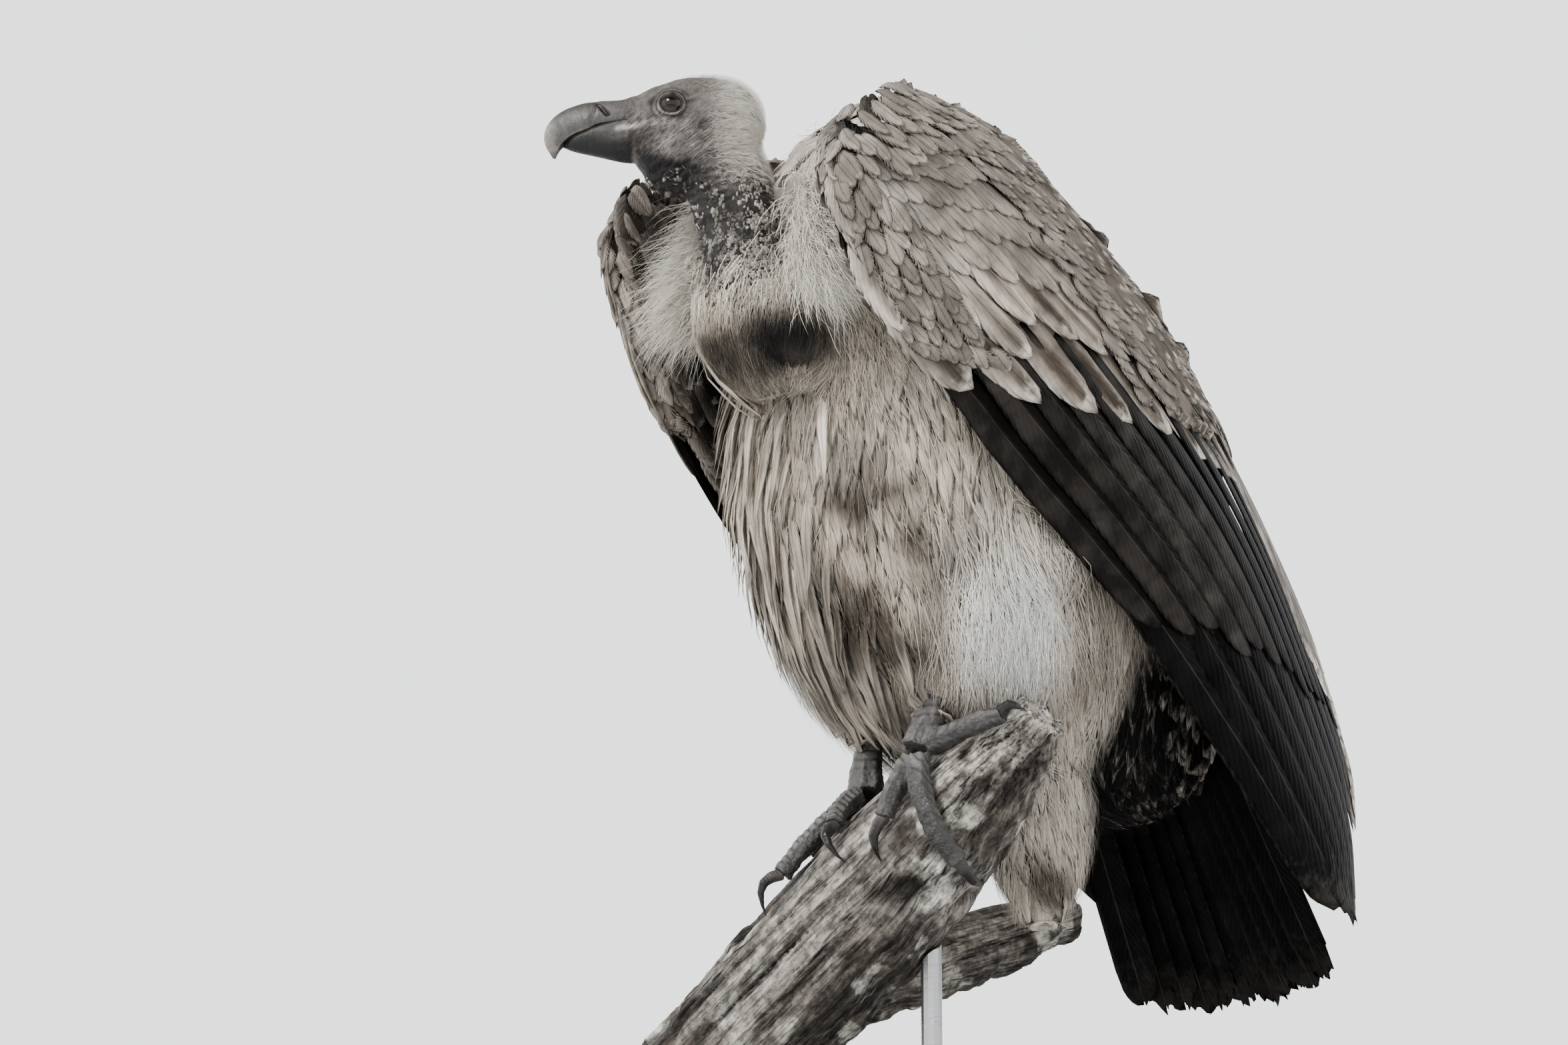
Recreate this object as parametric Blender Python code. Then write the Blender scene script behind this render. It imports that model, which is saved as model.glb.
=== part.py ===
"""An adult white-backed vulture on a dead limb, as a life-size display model.

Metres, +Z up. The bird faces -Y, so its left side is +X. The origin is the middle of the
underside of the stand's base. Each piece is lofted from a few stations, and each piece is
then carved by the pieces made before it, so that neighbours meet with a thin gap.
"""

import math

import bmesh
import bpy
import numpy as np

GAP = 0.0004                                # clearance between neighbouring pieces
SIDES = {"left": 1.0, "right": -1.0}

# The trunk leans forward: its axis runs from the neck down and back to the tail.
BODY_POINT = np.array([0.0, 0.030, 0.620])
BODY_LEAN = math.radians(33.0)
BODY_DOWN = np.array([0.0, math.sin(BODY_LEAN), -math.cos(BODY_LEAN)])
BODY_BACK = np.array([0.0, math.cos(BODY_LEAN), math.sin(BODY_LEAN)])
BODY_LEFT = np.array([1.0, 0.0, 0.0])

# The head is turned to the bird's right, with the bill level.
HEAD_POINT = np.array([-0.0355, -0.2040, 0.8045])
HEAD_TURN = math.radians(42.0)
HEAD_FORWARD = np.array([-math.sin(HEAD_TURN), -math.cos(HEAD_TURN), 0.0])
HEAD_LEFT = np.array([math.cos(HEAD_TURN), -math.sin(HEAD_TURN), 0.0])
HEAD_UP = np.array([0.0, 0.0, 1.0])
EYE_RADIUS = 0.0095
EYE_APART = 0.0350                          # between the centres of the two eyeballs
EYE_DROP = 0.0075                           # how far the eyes lie below the head's own point

# Trunk stations: distance down the axis, belly side, back side, half width.
TRUNK = (
    (-0.232, 0.000, 0.044, 0.028),
    (-0.214, -0.034, 0.074, 0.066),
    (-0.165, -0.076, 0.114, 0.100),
    (-0.090, -0.138, 0.146, 0.122),
    (-0.015, -0.180, 0.160, 0.132),
    (0.060, -0.190, 0.164, 0.134),
    (0.125, -0.182, 0.158, 0.126),
    (0.180, -0.150, 0.138, 0.108),
    (0.230, -0.104, 0.114, 0.084),
    (0.275, -0.056, 0.086, 0.058),
    (0.305, -0.012, 0.058, 0.028),
)

# Folded wing stations: distance down the axis, leading edge, trailing edge, the offset from
# the middle plane at each of those edges, the outward bulge between them, and the thickness.
WING = (
    (-0.246, -0.096, -0.040, 0.112, 0.106, 0.008, 0.018),
    (-0.234, -0.126, 0.004, 0.114, 0.092, 0.020, 0.030),
    (-0.204, -0.142, 0.052, 0.116, 0.072, 0.032, 0.036),
    (-0.160, -0.147, 0.098, 0.120, 0.054, 0.042, 0.036),
    (-0.095, -0.145, 0.142, 0.126, 0.042, 0.048, 0.030),
    (-0.030, -0.134, 0.174, 0.132, 0.036, 0.050, 0.022),
    (0.050, -0.112, 0.199, 0.136, 0.032, 0.048, 0.017),
    (0.110, -0.088, 0.208, 0.136, 0.030, 0.042, 0.014),
    (0.170, -0.062, 0.209, 0.130, 0.032, 0.036, 0.012),
    (0.240, -0.036, 0.202, 0.120, 0.038, 0.028, 0.011),
    (0.300, -0.008, 0.190, 0.110, 0.044, 0.020, 0.010),
    (0.360, 0.020, 0.166, 0.100, 0.052, 0.014, 0.009),
    (0.410, 0.038, 0.120, 0.090, 0.060, 0.010, 0.008),
    (0.436, 0.050, 0.088, 0.084, 0.068, 0.006, 0.007),
)

# Skull stations: distance ahead of the eyes, top, underside, half width.
HEAD = (
    (-0.0570, -0.0060, -0.0180, 0.0060),
    (-0.0530, 0.0035, -0.0330, 0.0165),
    (-0.0420, 0.0130, -0.0480, 0.0235),
    (-0.0280, 0.0175, -0.0580, 0.0268),
    (-0.0120, 0.0178, -0.0630, 0.0276),
    (0.0000, 0.0155, -0.0635, 0.0268),
    (0.0130, 0.0110, -0.0570, 0.0232),
    (0.0250, 0.0062, -0.0470, 0.0178),
    (0.0335, 0.0036, -0.0400, 0.0148),
)

# Bill stations: upper point (ahead, up), lower point (ahead, up), half width.
UPPER_BILL = (
    (0.0340, 0.0032, 0.0340, -0.0140, 0.0130),
    (0.0460, 0.0036, 0.0460, -0.0165, 0.0116),
    (0.0590, 0.0018, 0.0560, -0.0200, 0.0102),
    (0.0700, -0.0030, 0.0640, -0.0235, 0.0088),
    (0.0785, -0.0100, 0.0690, -0.0262, 0.0072),
    (0.0832, -0.0185, 0.0722, -0.0290, 0.0052),
    (0.0828, -0.0275, 0.0742, -0.0325, 0.0034),
    (0.0776, -0.0368, 0.0758, -0.0372, 0.0008),
)
LOWER_BILL = (
    (0.0340, -0.0152, 0.0340, -0.0396, 0.0122),
    (0.0450, -0.0178, 0.0450, -0.0368, 0.0100),
    (0.0550, -0.0212, 0.0560, -0.0344, 0.0082),
    (0.0635, -0.0248, 0.0645, -0.0322, 0.0062),
    (0.0690, -0.0284, 0.0698, -0.0302, 0.0020),
)

# Neck stations: middle of the section, then half width across and half depth.
NECK = (
    (-0.018, -0.184, 0.785, 0.0240, 0.0300),
    (-0.012, -0.178, 0.752, 0.0280, 0.0330),
    (-0.004, -0.172, 0.716, 0.0285, 0.0300),
    (0.000, -0.168, 0.688, 0.0310, 0.0310),
    (0.000, -0.162, 0.660, 0.0400, 0.0370),
    (0.000, -0.146, 0.636, 0.0440, 0.0400),
    (0.000, -0.112, 0.616, 0.0360, 0.0360),
)
WING_CLEARANCE = 0.0035                     # between the trunk and the wings over it
RUFF_RADIUS = 0.062
RUFF_MIDDLE = np.array([0.0, -0.134, 0.704])
RUFF_OPENING = math.radians(52.0)           # each way from straight ahead
RUFF_TUBE = 0.036

# Tail, in the body's own directions.
TAIL_TOP, TAIL_END = 0.225, 0.478
TAIL_OFFSET = 0.070                         # how far behind the axis the tail lies
TAIL_HALF_TOP, TAIL_HALF_END = 0.066, 0.084
TAIL_ASIDE = -0.006                         # the tail hangs a little to the right
TAIL_THICK = 0.012
TAIL_ROLL = math.radians(10.0)
TAIL_FEATHERS = 12

# Legs.
FRONT_DOWN = np.array([0.0, -1.0, -0.3])
TOE_STEPS, CLAW_STEPS = 6, 5
TOE_RADIUS = 0.0080
CLAW_RADIUS = 0.0048
FEET = {
    "left": np.array([0.035, -0.050, 0.387]),
    "right": np.array([-0.040, -0.028, 0.367]),
}
HOCKS = {
    "left": np.array([0.048, -0.026, 0.472]),
    "right": np.array([-0.052, -0.010, 0.452]),
}
HIPS = {
    "left": np.array([0.096, -0.004, 0.535]),
    "right": np.array([-0.096, -0.004, 0.535]),
}
# Toe: name, length, claw length, and for each foot its bearing in degrees: 0 runs straight
# round the front of the limb, and positive bearings turn up its slope.
TOES = (
    ("inner", 0.046, 0.031, {"left": -58.0, "right": -12.0}),
    ("middle", 0.078, 0.031, {"left": -20.0, "right": -60.0}),
    ("outer", 0.058, 0.025, {"left": 68.0, "right": -90.0}),
    ("hind", 0.046, 0.034, {"left": 205.0, "right": 190.0}),
)

# Perch: middle of each section and its radius.
LIMB = (
    (-0.206, -0.064, 0.160, 0.046),
    (-0.150, -0.050, 0.207, 0.049),
    (-0.095, -0.032, 0.254, 0.052),
    (-0.043, -0.019, 0.297, 0.051),
    (0.004, -0.014, 0.334, 0.047),
    (0.040, -0.012, 0.362, 0.040),
    (0.068, -0.008, 0.385, 0.031),
    (0.096, -0.002, 0.408, 0.018),
)
LIMB_LENGTH = 0.42                          # a little over the length of its middle line
FORK = (
    (-0.105, -0.022, 0.246, 0.034),
    (-0.082, 0.030, 0.258, 0.031),
    (-0.072, 0.085, 0.274, 0.027),
    (-0.074, 0.140, 0.290, 0.024),
    (-0.082, 0.200, 0.308, 0.020),
)

# Stand.
BASE_LENGTH, BASE_WIDTH, BASE_HEIGHT = 0.460, 0.360, 0.022
BASE_BEVEL = 0.003
ROD_RADIUS = 0.007
RODS = ((-0.135, -0.046, 0.200), (-0.010, 0.000, 0.330))


def body(across, down, back):
    """A point in the trunk's own directions."""
    return BODY_POINT + across * BODY_LEFT + down * BODY_DOWN + back * BODY_BACK


def head(ahead, left, up):
    """A point in the head's own directions, from a point above the middle of the eyes."""
    return HEAD_POINT + ahead * HEAD_FORWARD + left * HEAD_LEFT + up * HEAD_UP


def smooth_rows(rows, count):
    """The rows of a station table, read along a Catmull-Rom curve at count even steps."""
    rows = np.array(rows, float)
    padded = np.vstack([2 * rows[0] - rows[1], rows, 2 * rows[-1] - rows[-2]])
    steps = np.linspace(0, len(rows) - 1, count)
    index = np.minimum(steps.astype(int), len(rows) - 2)
    t = (steps - index)[:, None]
    p0, p1, p2, p3 = (padded[index + k] for k in range(4))
    return 0.5 * (
        2 * p1 + (p2 - p0) * t
        + (2 * p0 - 5 * p1 + 4 * p2 - p3) * t ** 2
        + (3 * p1 - p0 - 3 * p2 + p3) * t ** 3
    )


def unit(vector):
    return np.asarray(vector, float) / np.linalg.norm(vector)


def oval(middle, across, upward, count, power=2.0):
    """A closed ring: a superellipse with the two half axes given as vectors."""
    ring = []
    for step in range(count):
        turn = 2 * math.pi * step / count
        x, y = math.cos(turn), math.sin(turn)
        x = math.copysign(abs(x) ** (2 / power), x)
        y = math.copysign(abs(y) ** (2 / power), y)
        ring.append(middle + x * across + y * upward)
    return ring


def frames_along(points):
    """A pair of cross directions at each point of a path, turned as little as can be."""
    points = np.array(points, float)
    tangents = np.gradient(points, axis=0)
    side = unit(np.cross(tangents[0], [0.013, 0.021, 1.0]))
    frames = []
    for tangent in tangents:
        tangent = unit(tangent)
        side = unit(side - np.dot(side, tangent) * tangent)
        frames.append((side, np.cross(tangent, side)))
    return frames


def material(name, colour, roughness, metallic=0.0):
    finish = bpy.data.materials.new(name)
    finish.use_nodes = True
    shader = finish.node_tree.nodes["Principled BSDF"]
    shader.inputs["Base Color"].default_value = (*colour, 1.0)
    shader.inputs["Roughness"].default_value = roughness
    shader.inputs["Metallic"].default_value = metallic
    finish.diffuse_color = (*colour, 1.0)
    return finish


def new_object(name, shape, finish):
    """A mesh object from a bmesh, with its faces triangulated and pointing out."""
    bmesh.ops.triangulate(shape, faces=shape.faces[:])
    bmesh.ops.recalc_face_normals(shape, faces=shape.faces[:])
    if shape.calc_volume(signed=True) < 0:
        bmesh.ops.reverse_faces(shape, faces=shape.faces[:])
    mesh = bpy.data.meshes.new(name)
    shape.to_mesh(mesh)
    shape.free()
    mesh.shade_smooth()
    mesh.set_sharp_from_angle(angle=math.radians(50))
    if finish:
        mesh.materials.append(finish)
    piece = bpy.data.objects.new(name, mesh)
    bpy.context.scene.collection.objects.link(piece)
    return piece


def loft(name, rings, finish):
    """A closed body through rings of equal counts, each end closed by a fan."""
    shape = bmesh.new()
    loops = [[shape.verts.new(point) for point in ring] for ring in rings]
    count = len(loops[0])
    for first, second in zip(loops, loops[1:]):
        for i in range(count):
            j = (i + 1) % count
            shape.faces.new((first[i], first[j], second[j], second[i]))
    for loop, ring in ((loops[0], rings[0]), (loops[-1], rings[-1])):
        hub = shape.verts.new(np.mean(ring, axis=0))
        for i in range(count):
            shape.faces.new((hub, loop[(i + 1) % count], loop[i]))
    return new_object(name, shape, finish)


def tube(name, path, radii, sides, finish, flatten=1.0):
    rings = []
    for point, (side, upward), radius in zip(path, frames_along(path), radii):
        rings.append(oval(np.array(point), side * radius, upward * radius * flatten, sides))
    return loft(name, rings, finish)


def slab(name, outer, inner, finish):
    """A closed sheet between two grids of points, given as rows of equal counts."""
    shape = bmesh.new()
    faces = [[[shape.verts.new(p) for p in row] for row in grid] for grid in (outer, inner)]
    rows, columns = len(outer), len(outer[0])
    for grid in faces:
        for r in range(rows - 1):
            for c in range(columns - 1):
                shape.faces.new((grid[r][c], grid[r][c + 1], grid[r + 1][c + 1], grid[r + 1][c]))
    top, under = faces
    for r in range(rows - 1):
        for c in (0, columns - 1):
            shape.faces.new((top[r][c], top[r + 1][c], under[r + 1][c], under[r][c]))
    for c in range(columns - 1):
        for r in (0, rows - 1):
            shape.faces.new((top[r][c], top[r][c + 1], under[r][c + 1], under[r][c]))
    return new_object(name, shape, finish)


def swollen(piece, amount):
    """A hidden copy of a piece whose surface stands out by amount, to carve others with."""
    mesh = piece.data.copy()
    shape = bmesh.new()
    shape.from_mesh(mesh)
    shape.normal_update()
    offsets = [vertex.normal.copy() for vertex in shape.verts]
    for vertex, normal in zip(shape.verts, offsets):
        vertex.co += normal * amount
    shape.to_mesh(mesh)
    shape.free()
    cutter = bpy.data.objects.new(piece.name + ".cutter", mesh)
    bpy.context.scene.collection.objects.link(cutter)
    cutter.hide_render = True
    cutter.display_type = "WIRE"
    return cutter


def apply_boolean(piece, other, operation):
    step = piece.modifiers.new("step", "BOOLEAN")
    step.operation = operation
    step.solver = "EXACT"
    step.object = other
    graph = bpy.context.evaluated_depsgraph_get()
    mesh = bpy.data.meshes.new_from_object(piece.evaluated_get(graph))
    piece.modifiers.remove(step)
    old = piece.data
    piece.data = mesh
    bpy.data.meshes.remove(old)


def keep_largest(piece):
    """Drops all but the body with the most volume."""
    shape = bmesh.new()
    shape.from_mesh(piece.data)
    bmesh.ops.remove_doubles(shape, verts=shape.verts[:], dist=1e-6)
    bmesh.ops.dissolve_degenerate(shape, edges=shape.edges[:], dist=1e-6)
    bmesh.ops.triangulate(shape, faces=shape.faces[:])
    waiting = set(shape.verts)
    bodies = []
    while waiting:
        reached = {waiting.pop()}
        edge = list(reached)
        while edge:
            near = {e.other_vert(v) for v in edge for e in v.link_edges} - reached
            reached |= near
            edge = list(near)
        waiting -= reached
        bodies.append(reached)
    largest = max(bodies, key=lambda verts: np.prod(np.ptp([v.co[:] for v in verts], axis=0)))
    bmesh.ops.delete(shape, geom=[v for v in shape.verts if v not in largest], context="VERTS")
    shape.to_mesh(piece.data)
    shape.free()


def box_of(piece):
    points = np.array([vertex.co[:] for vertex in piece.data.vertices])
    return points.min(axis=0), points.max(axis=0)


def carve(pieces):
    """Carves each piece by the pieces before it in the list, where their boxes meet."""
    cutters = [swollen(piece, GAP) for piece in pieces]
    for number, piece in enumerate(pieces):
        low, high = box_of(piece)
        for cutter in cutters[:number]:
            cut_low, cut_high = box_of(cutter)
            if (low < cut_high).all() and (high > cut_low).all():
                apply_boolean(piece, cutter, "DIFFERENCE")
        keep_largest(piece)
    for cutter in cutters:
        bpy.data.objects.remove(cutter)


def within_wings(across, down, back):
    """A trunk point, drawn in to lie under the wing that covers it."""
    table = smooth_rows(WING, 60)
    if table[0, 0] < down < table[-1, 0]:
        row = [np.interp(down, table[:, 0], table[:, k]) for k in range(table.shape[1])]
        place = (back - row[1]) / (row[2] - row[1])
        if place > -0.2:
            inner = wing_point(min(max(place, 0), 1), row, 1.0, True) - BODY_POINT
            room = inner[0] + 0.05 * max(place - 1, 0) - WING_CLEARANCE
            across = math.copysign(min(abs(across), room), across)
    return body(across, down, back)


def make_trunk(finish):
    rings = []
    for down, belly, back, half in smooth_rows(TRUNK, 16):
        flat = oval(np.zeros(2), np.array([half, 0]), np.array([0, (back - belly) / 2]), 20, 2.5)
        rings.append([within_wings(x, down, (belly + back) / 2 + y) for x, y in flat])
    return loft("trunk", rings, finish)


def make_vent(finish):
    """The loose feathers under the root of the tail."""
    path = [(0.004, 0.072, 0.430), (0.008, 0.078, 0.392), (0.014, 0.076, 0.350),
            (0.022, 0.070, 0.310), (0.027, 0.068, 0.276)]
    radii = np.array([0.070, 0.060, 0.046, 0.030, 0.012])
    return tube("vent", smooth_rows(path, 9), smooth_rows(radii[:, None], 9)[:, 0], 14, finish)


def wing_point(across, row, side, inner):
    """A point on a wing: across runs from 0 at the leading edge to 1 at the trailing one."""
    down, lead, trail, lead_x, trail_x, bulge, thick = row
    back = lead + (trail - lead) * across
    x = lead_x + (trail_x - lead_x) * across ** 1.4 + bulge * math.sin(math.pi * across ** 0.8)
    if inner:
        x -= thick * (0.35 + 0.65 * math.sin(math.pi * min(across + 0.15, 1.0)))
        back += 0.25 * thick * (0.5 - across)
    return body(side * x, down, back)


def wing_piece(name, side, start, end, counts, finish):
    """The part of a wing between two lines, each given as a function of the place across."""
    fine = smooth_rows(WING, 200)
    outer, inner = [], []
    columns, steps = counts
    for step in range(steps + 1):
        rows = ([], [])
        for column in range(columns):
            across = column / (columns - 1)
            down = start(across) + (end(across) - start(across)) * step / steps
            row = [np.interp(down, fine[:, 0], fine[:, k]) for k in range(fine.shape[1])]
            rows[0].append(wing_point(across, row, side, False))
            rows[1].append(wing_point(across, row, side, True))
        outer.append(rows[0])
        inner.append(rows[1])
    return slab(name, outer, inner, finish)


def finger_tips(across):
    """The line of the spread tips of the longest quills."""
    notch = 0.022 * (1 - abs(math.sin(4 * math.pi * across)))
    return 0.402 + 0.034 * math.sin(math.pi * across) - notch


def make_wing(word, side, coverts, flights):
    top = lambda across: WING[0][0]
    covert_tips = lambda across: -0.085 + 0.250 * across
    flight_tips = lambda across: 0.130 + 0.205 * across ** 0.8
    seam = lambda line: (lambda across: line(across) + 3 * GAP)
    stretches = (
        ("coverts", top, covert_tips, (11, 6), coverts),
        ("secondaries", seam(covert_tips), flight_tips, (10, 5), flights),
        ("primaries", seam(flight_tips), finger_tips, (17, 3), flights),
    )
    return [
        wing_piece(f"wing_{word}_{name}", side, start, end, counts, finish)
        for name, start, end, counts, finish in stretches
    ]


def make_tail(finish):
    top, under = [], []
    columns = 2 * TAIL_FEATHERS + 1
    roll = np.array([math.cos(TAIL_ROLL), math.sin(TAIL_ROLL)])
    for step in range(3):
        t = step / 2
        half = TAIL_HALF_TOP + (TAIL_HALF_END - TAIL_HALF_TOP) * t
        rows = ([], [])
        for c in range(columns):
            across = 2 * c / (columns - 1) - 1
            end = TAIL_END - 0.020 * across ** 2 - 0.010 * (1 - abs(math.sin(math.pi * c / 2)))
            down = TAIL_TOP + (end - TAIL_TOP) * t
            arch = 0.014 * (1 - across ** 2)
            thick = TAIL_THICK * (1 - 0.6 * t)
            for row, offset in zip(rows, (0, -thick)):
                x, back = across * half + TAIL_ASIDE, TAIL_OFFSET - 0.030 * t + arch + offset
                row.append(body(x * roll[0], down - x * roll[1], back))
        top.append(rows[0])
        under.append(rows[1])
    return slab("tail", top, under, finish)


def make_head(finish):
    rings = []
    for ahead, top, under, half in smooth_rows(HEAD, 13):
        middle = head(ahead, 0, (top + under) / 2)
        rings.append(oval(middle, half * HEAD_LEFT, (top - under) / 2 * HEAD_UP, 16, 2.3))
    return loft("head", rings, finish)


def make_bill(name, stations, finish):
    rings = []
    for top_ahead, top_up, low_ahead, low_up, half in smooth_rows(stations, 12):
        top, low = head(top_ahead, 0, top_up), head(low_ahead, 0, low_up)
        rings.append(oval((top + low) / 2, half * HEAD_LEFT, (top - low) / 2, 12, 2.0))
    return loft(name, rings, finish)


def make_eye(word, side, finish):
    shape = bmesh.new()
    bmesh.ops.create_uvsphere(shape, u_segments=8, v_segments=6, radius=EYE_RADIUS)
    middle = head(0, side * EYE_APART / 2, -EYE_DROP)
    bmesh.ops.translate(shape, verts=shape.verts[:], vec=middle)
    return new_object(f"eye_{word}", shape, finish)


def make_neck(finish):
    rows = smooth_rows(NECK, 9)
    rings = []
    for row in rows:
        middle, across, deep = row[:3], row[3], row[4]
        rings.append(oval(middle, across * BODY_LEFT, np.array([0, deep, 0]), 12))
    return loft("neck", rings, finish)


def make_ruff(finish):
    """A collar of loose down round the sides and back of the neck."""
    steps = 12
    path, radii = [], []
    for step in range(steps + 1):
        t = step / steps
        turn = RUFF_OPENING + (2 * math.pi - 2 * RUFF_OPENING) * t
        swell = math.sin(math.pi * min(max(t, 0.04), 0.96)) ** 0.45
        spot = RUFF_RADIUS * np.array([math.sin(turn), -math.cos(turn), 0])
        path.append(RUFF_MIDDLE + spot + [0, 0, 0.022 * (1 - math.cos(2 * math.pi * t)) / 2])
        radii.append(RUFF_TUBE * swell)
    return tube("ruff", path, radii, 10, finish, flatten=1.25)


def limb_at(run):
    """Middle, radius and direction of the perch's limb, at a distance along it."""
    fine = smooth_rows(LIMB, 101)
    runs = np.concatenate([[0], np.cumsum(np.linalg.norm(np.diff(fine[:, :3], axis=0), axis=1))])
    row = np.array([np.interp(run, runs, fine[:, k]) for k in range(4)])
    spot = min(max(int(np.searchsorted(runs, run)), 1), 99)
    return row[:3], row[3], unit(fine[spot + 1, :3] - fine[spot - 1, :3])


def bark_swell(turn, along):
    """How the limb's radius varies round and along it."""
    return 1 + 0.022 * math.sin(3 * turn + 9 * along) + 0.016 * math.sin(5 * turn - 17 * along)


def make_perch(finish):
    """The limb and its lower fork, one piece of wood."""
    pieces = []
    for stations, sides, steps in ((LIMB, 14, 14), (FORK, 10, 7)):
        rows = smooth_rows(stations, steps)
        rings = []
        for step, (side, upward) in enumerate(frames_along(rows[:, :3])):
            ring = []
            for k in range(sides):
                turn = 2 * math.pi * k / sides
                radius = rows[step, 3] * bark_swell(turn, step / steps)
                ring.append(rows[step, :3] + radius * (math.cos(turn) * side + math.sin(turn) * upward))
            rings.append(ring)
        pieces.append(loft("perch", rings, finish))
    apply_boolean(pieces[0], pieces[1], "UNION")
    bpy.data.objects.remove(pieces[1])
    pieces[0].name = "perch"
    return pieces[0]


def nearest_on_limb(point):
    """The distance along the limb that is nearest to a point."""
    runs = np.linspace(0, LIMB_LENGTH, 211)
    return min(runs, key=lambda run: np.linalg.norm(limb_at(run)[0] - point))


def on_limb(run, normal, turn, height):
    """A point over the limb's surface: turn is measured from normal, towards the front."""
    middle, radius, ahead = limb_at(run)
    normal = unit(normal - np.dot(normal, ahead) * ahead)
    around = np.cross(normal, ahead)
    around *= -1 if np.dot(around, FRONT_DOWN) < 0 else 1
    return middle + (radius + height) * (math.cos(turn) * normal + math.sin(turn) * around)


def make_foot(word, foot, skin, horn):
    """The four toes and claws of a foot, each laid over the limb along its own bearing."""
    start = nearest_on_limb(foot)
    middle, radius, _ = limb_at(start)
    normal = unit(foot - middle)
    pieces = []
    for name, length, claw_length, bearings in TOES:
        bearing = math.radians(bearings[word])
        path, toe_bore, claw_bore = [], [], []
        for step in range(TOE_STEPS + CLAW_STEPS + 1):
            past = max(0, step - TOE_STEPS) / CLAW_STEPS
            run = 0.008 + (length - 0.008) * min(step / TOE_STEPS, 1) + claw_length * past
            knuckles = 0.06 * math.cos(run / length * 6 * math.pi)
            toe_bore.append(TOE_RADIUS * (1.06 + knuckles - 0.20 * run / length))
            claw_bore.append(CLAW_RADIUS * max(1 - past ** 1.5, 0.08))
            height = TOE_RADIUS * (1.10 - 1.05 * past) + 0.011 * math.sin(math.pi * past)
            turn = run * math.cos(bearing) / (radius + TOE_RADIUS)
            path.append(on_limb(start + run * math.sin(bearing), normal, turn, height))
        ends = slice(0, TOE_STEPS + 1), slice(TOE_STEPS, None)
        pieces.append(tube(f"toe_{word}_{name}", path[ends[0]], toe_bore[ends[0]], 7, skin))
        pieces.append(tube(f"claw_{word}_{name}", path[ends[1]], claw_bore[ends[1]], 6, horn))
    return pieces


def make_leg(word, plumage, skin):
    foot, hock, hip = FEET[word], HOCKS[word], HIPS[word]
    middle, radius, _ = limb_at(nearest_on_limb(foot))
    sole = middle + unit(foot - middle) * (radius + 0.009)
    shank_path = smooth_rows([hock, 0.5 * (hock + sole), sole], 7)
    shank_radii = smooth_rows([[0.0120], [0.0088], [0.0130]], 7)[:, 0]
    thigh_path = smooth_rows([hip, 0.45 * hip + 0.55 * hock, hock], 8)
    thigh_radii = smooth_rows([[0.050], [0.044], [0.022]], 8)[:, 0]
    return [
        tube(f"tarsus_{word}", shank_path, shank_radii, 8, skin),
        tube(f"thigh_{word}", thigh_path, thigh_radii, 12, plumage),
    ]


def make_stand(board, steel):
    shape = bmesh.new()
    bmesh.ops.create_cube(shape, size=1.0)
    bmesh.ops.scale(shape, verts=shape.verts[:], vec=(BASE_WIDTH, BASE_LENGTH, BASE_HEIGHT))
    bmesh.ops.translate(shape, verts=shape.verts[:], vec=(0, 0, BASE_HEIGHT / 2))
    rim = [e for e in shape.edges if max(v.co.z for v in e.verts) > BASE_HEIGHT / 2]
    bmesh.ops.bevel(shape, geom=rim, offset=BASE_BEVEL, segments=2, affect="EDGES", profile=0.5)
    pieces = [new_object("stand_base", shape, board)]
    for number, (x, y, top) in enumerate(RODS, 1):
        path = [(x, y, BASE_HEIGHT + GAP), (x, y, (BASE_HEIGHT + top) / 2), (x, y, top)]
        pieces.append(tube(f"stand_rod_{number}", path, [ROD_RADIUS] * 3, 12, steel))
    return pieces


def main():
    for old in list(bpy.data.objects):
        bpy.data.objects.remove(old)
    plumage = material("plumage", (0.55, 0.44, 0.32), 0.85)
    down = material("down", (0.80, 0.76, 0.68), 0.9)
    quills = material("quills", (0.09, 0.07, 0.055), 0.7)
    bare_skin = material("bare_skin", (0.10, 0.085, 0.08), 0.6)
    leg_skin = material("leg_skin", (0.13, 0.115, 0.105), 0.6)
    horn = material("horn", (0.07, 0.062, 0.058), 0.32)
    cornea = material("cornea", (0.02, 0.012, 0.008), 0.08)
    wood = material("wood", (0.40, 0.36, 0.31), 0.85)
    board = material("board", (0.05, 0.045, 0.04), 0.45)
    steel = material("steel", (0.30, 0.30, 0.31), 0.35, 1.0)

    feet = [piece for word in SIDES for piece in make_foot(word, FEET[word], leg_skin, horn)]
    legs = [piece for word in SIDES for piece in make_leg(word, plumage, leg_skin)]
    wings = [piece for word, side in SIDES.items() for piece in make_wing(word, side, plumage, quills)]
    carve(
        [make_perch(wood)]
        + feet[1::2] + feet[0::2] + legs
        + [make_eye(word, side, cornea) for word, side in SIDES.items()]
        + [make_bill("bill_upper", UPPER_BILL, horn), make_bill("bill_lower", LOWER_BILL, horn)]
        + [make_head(bare_skin), make_ruff(down)] + wings
        + [make_trunk(plumage), make_neck(bare_skin), make_tail(quills), make_vent(down)]
        + make_stand(board, steel)
    )


main()
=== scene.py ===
"""Finishes a white-backed vulture that stands on a cut length of dead limb.

Metres, +Z up; the chest faces -Y and the bird's left is +X. One skin is drawn over the
fleshy nodes, and every feather is a thin closed vane or blade laid along that skin or along
the folded wings. Colours are linear values.
"""

import math

import bmesh
import bpy
import numpy as np
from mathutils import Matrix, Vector
from mathutils.bvhtree import BVHTree


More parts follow.
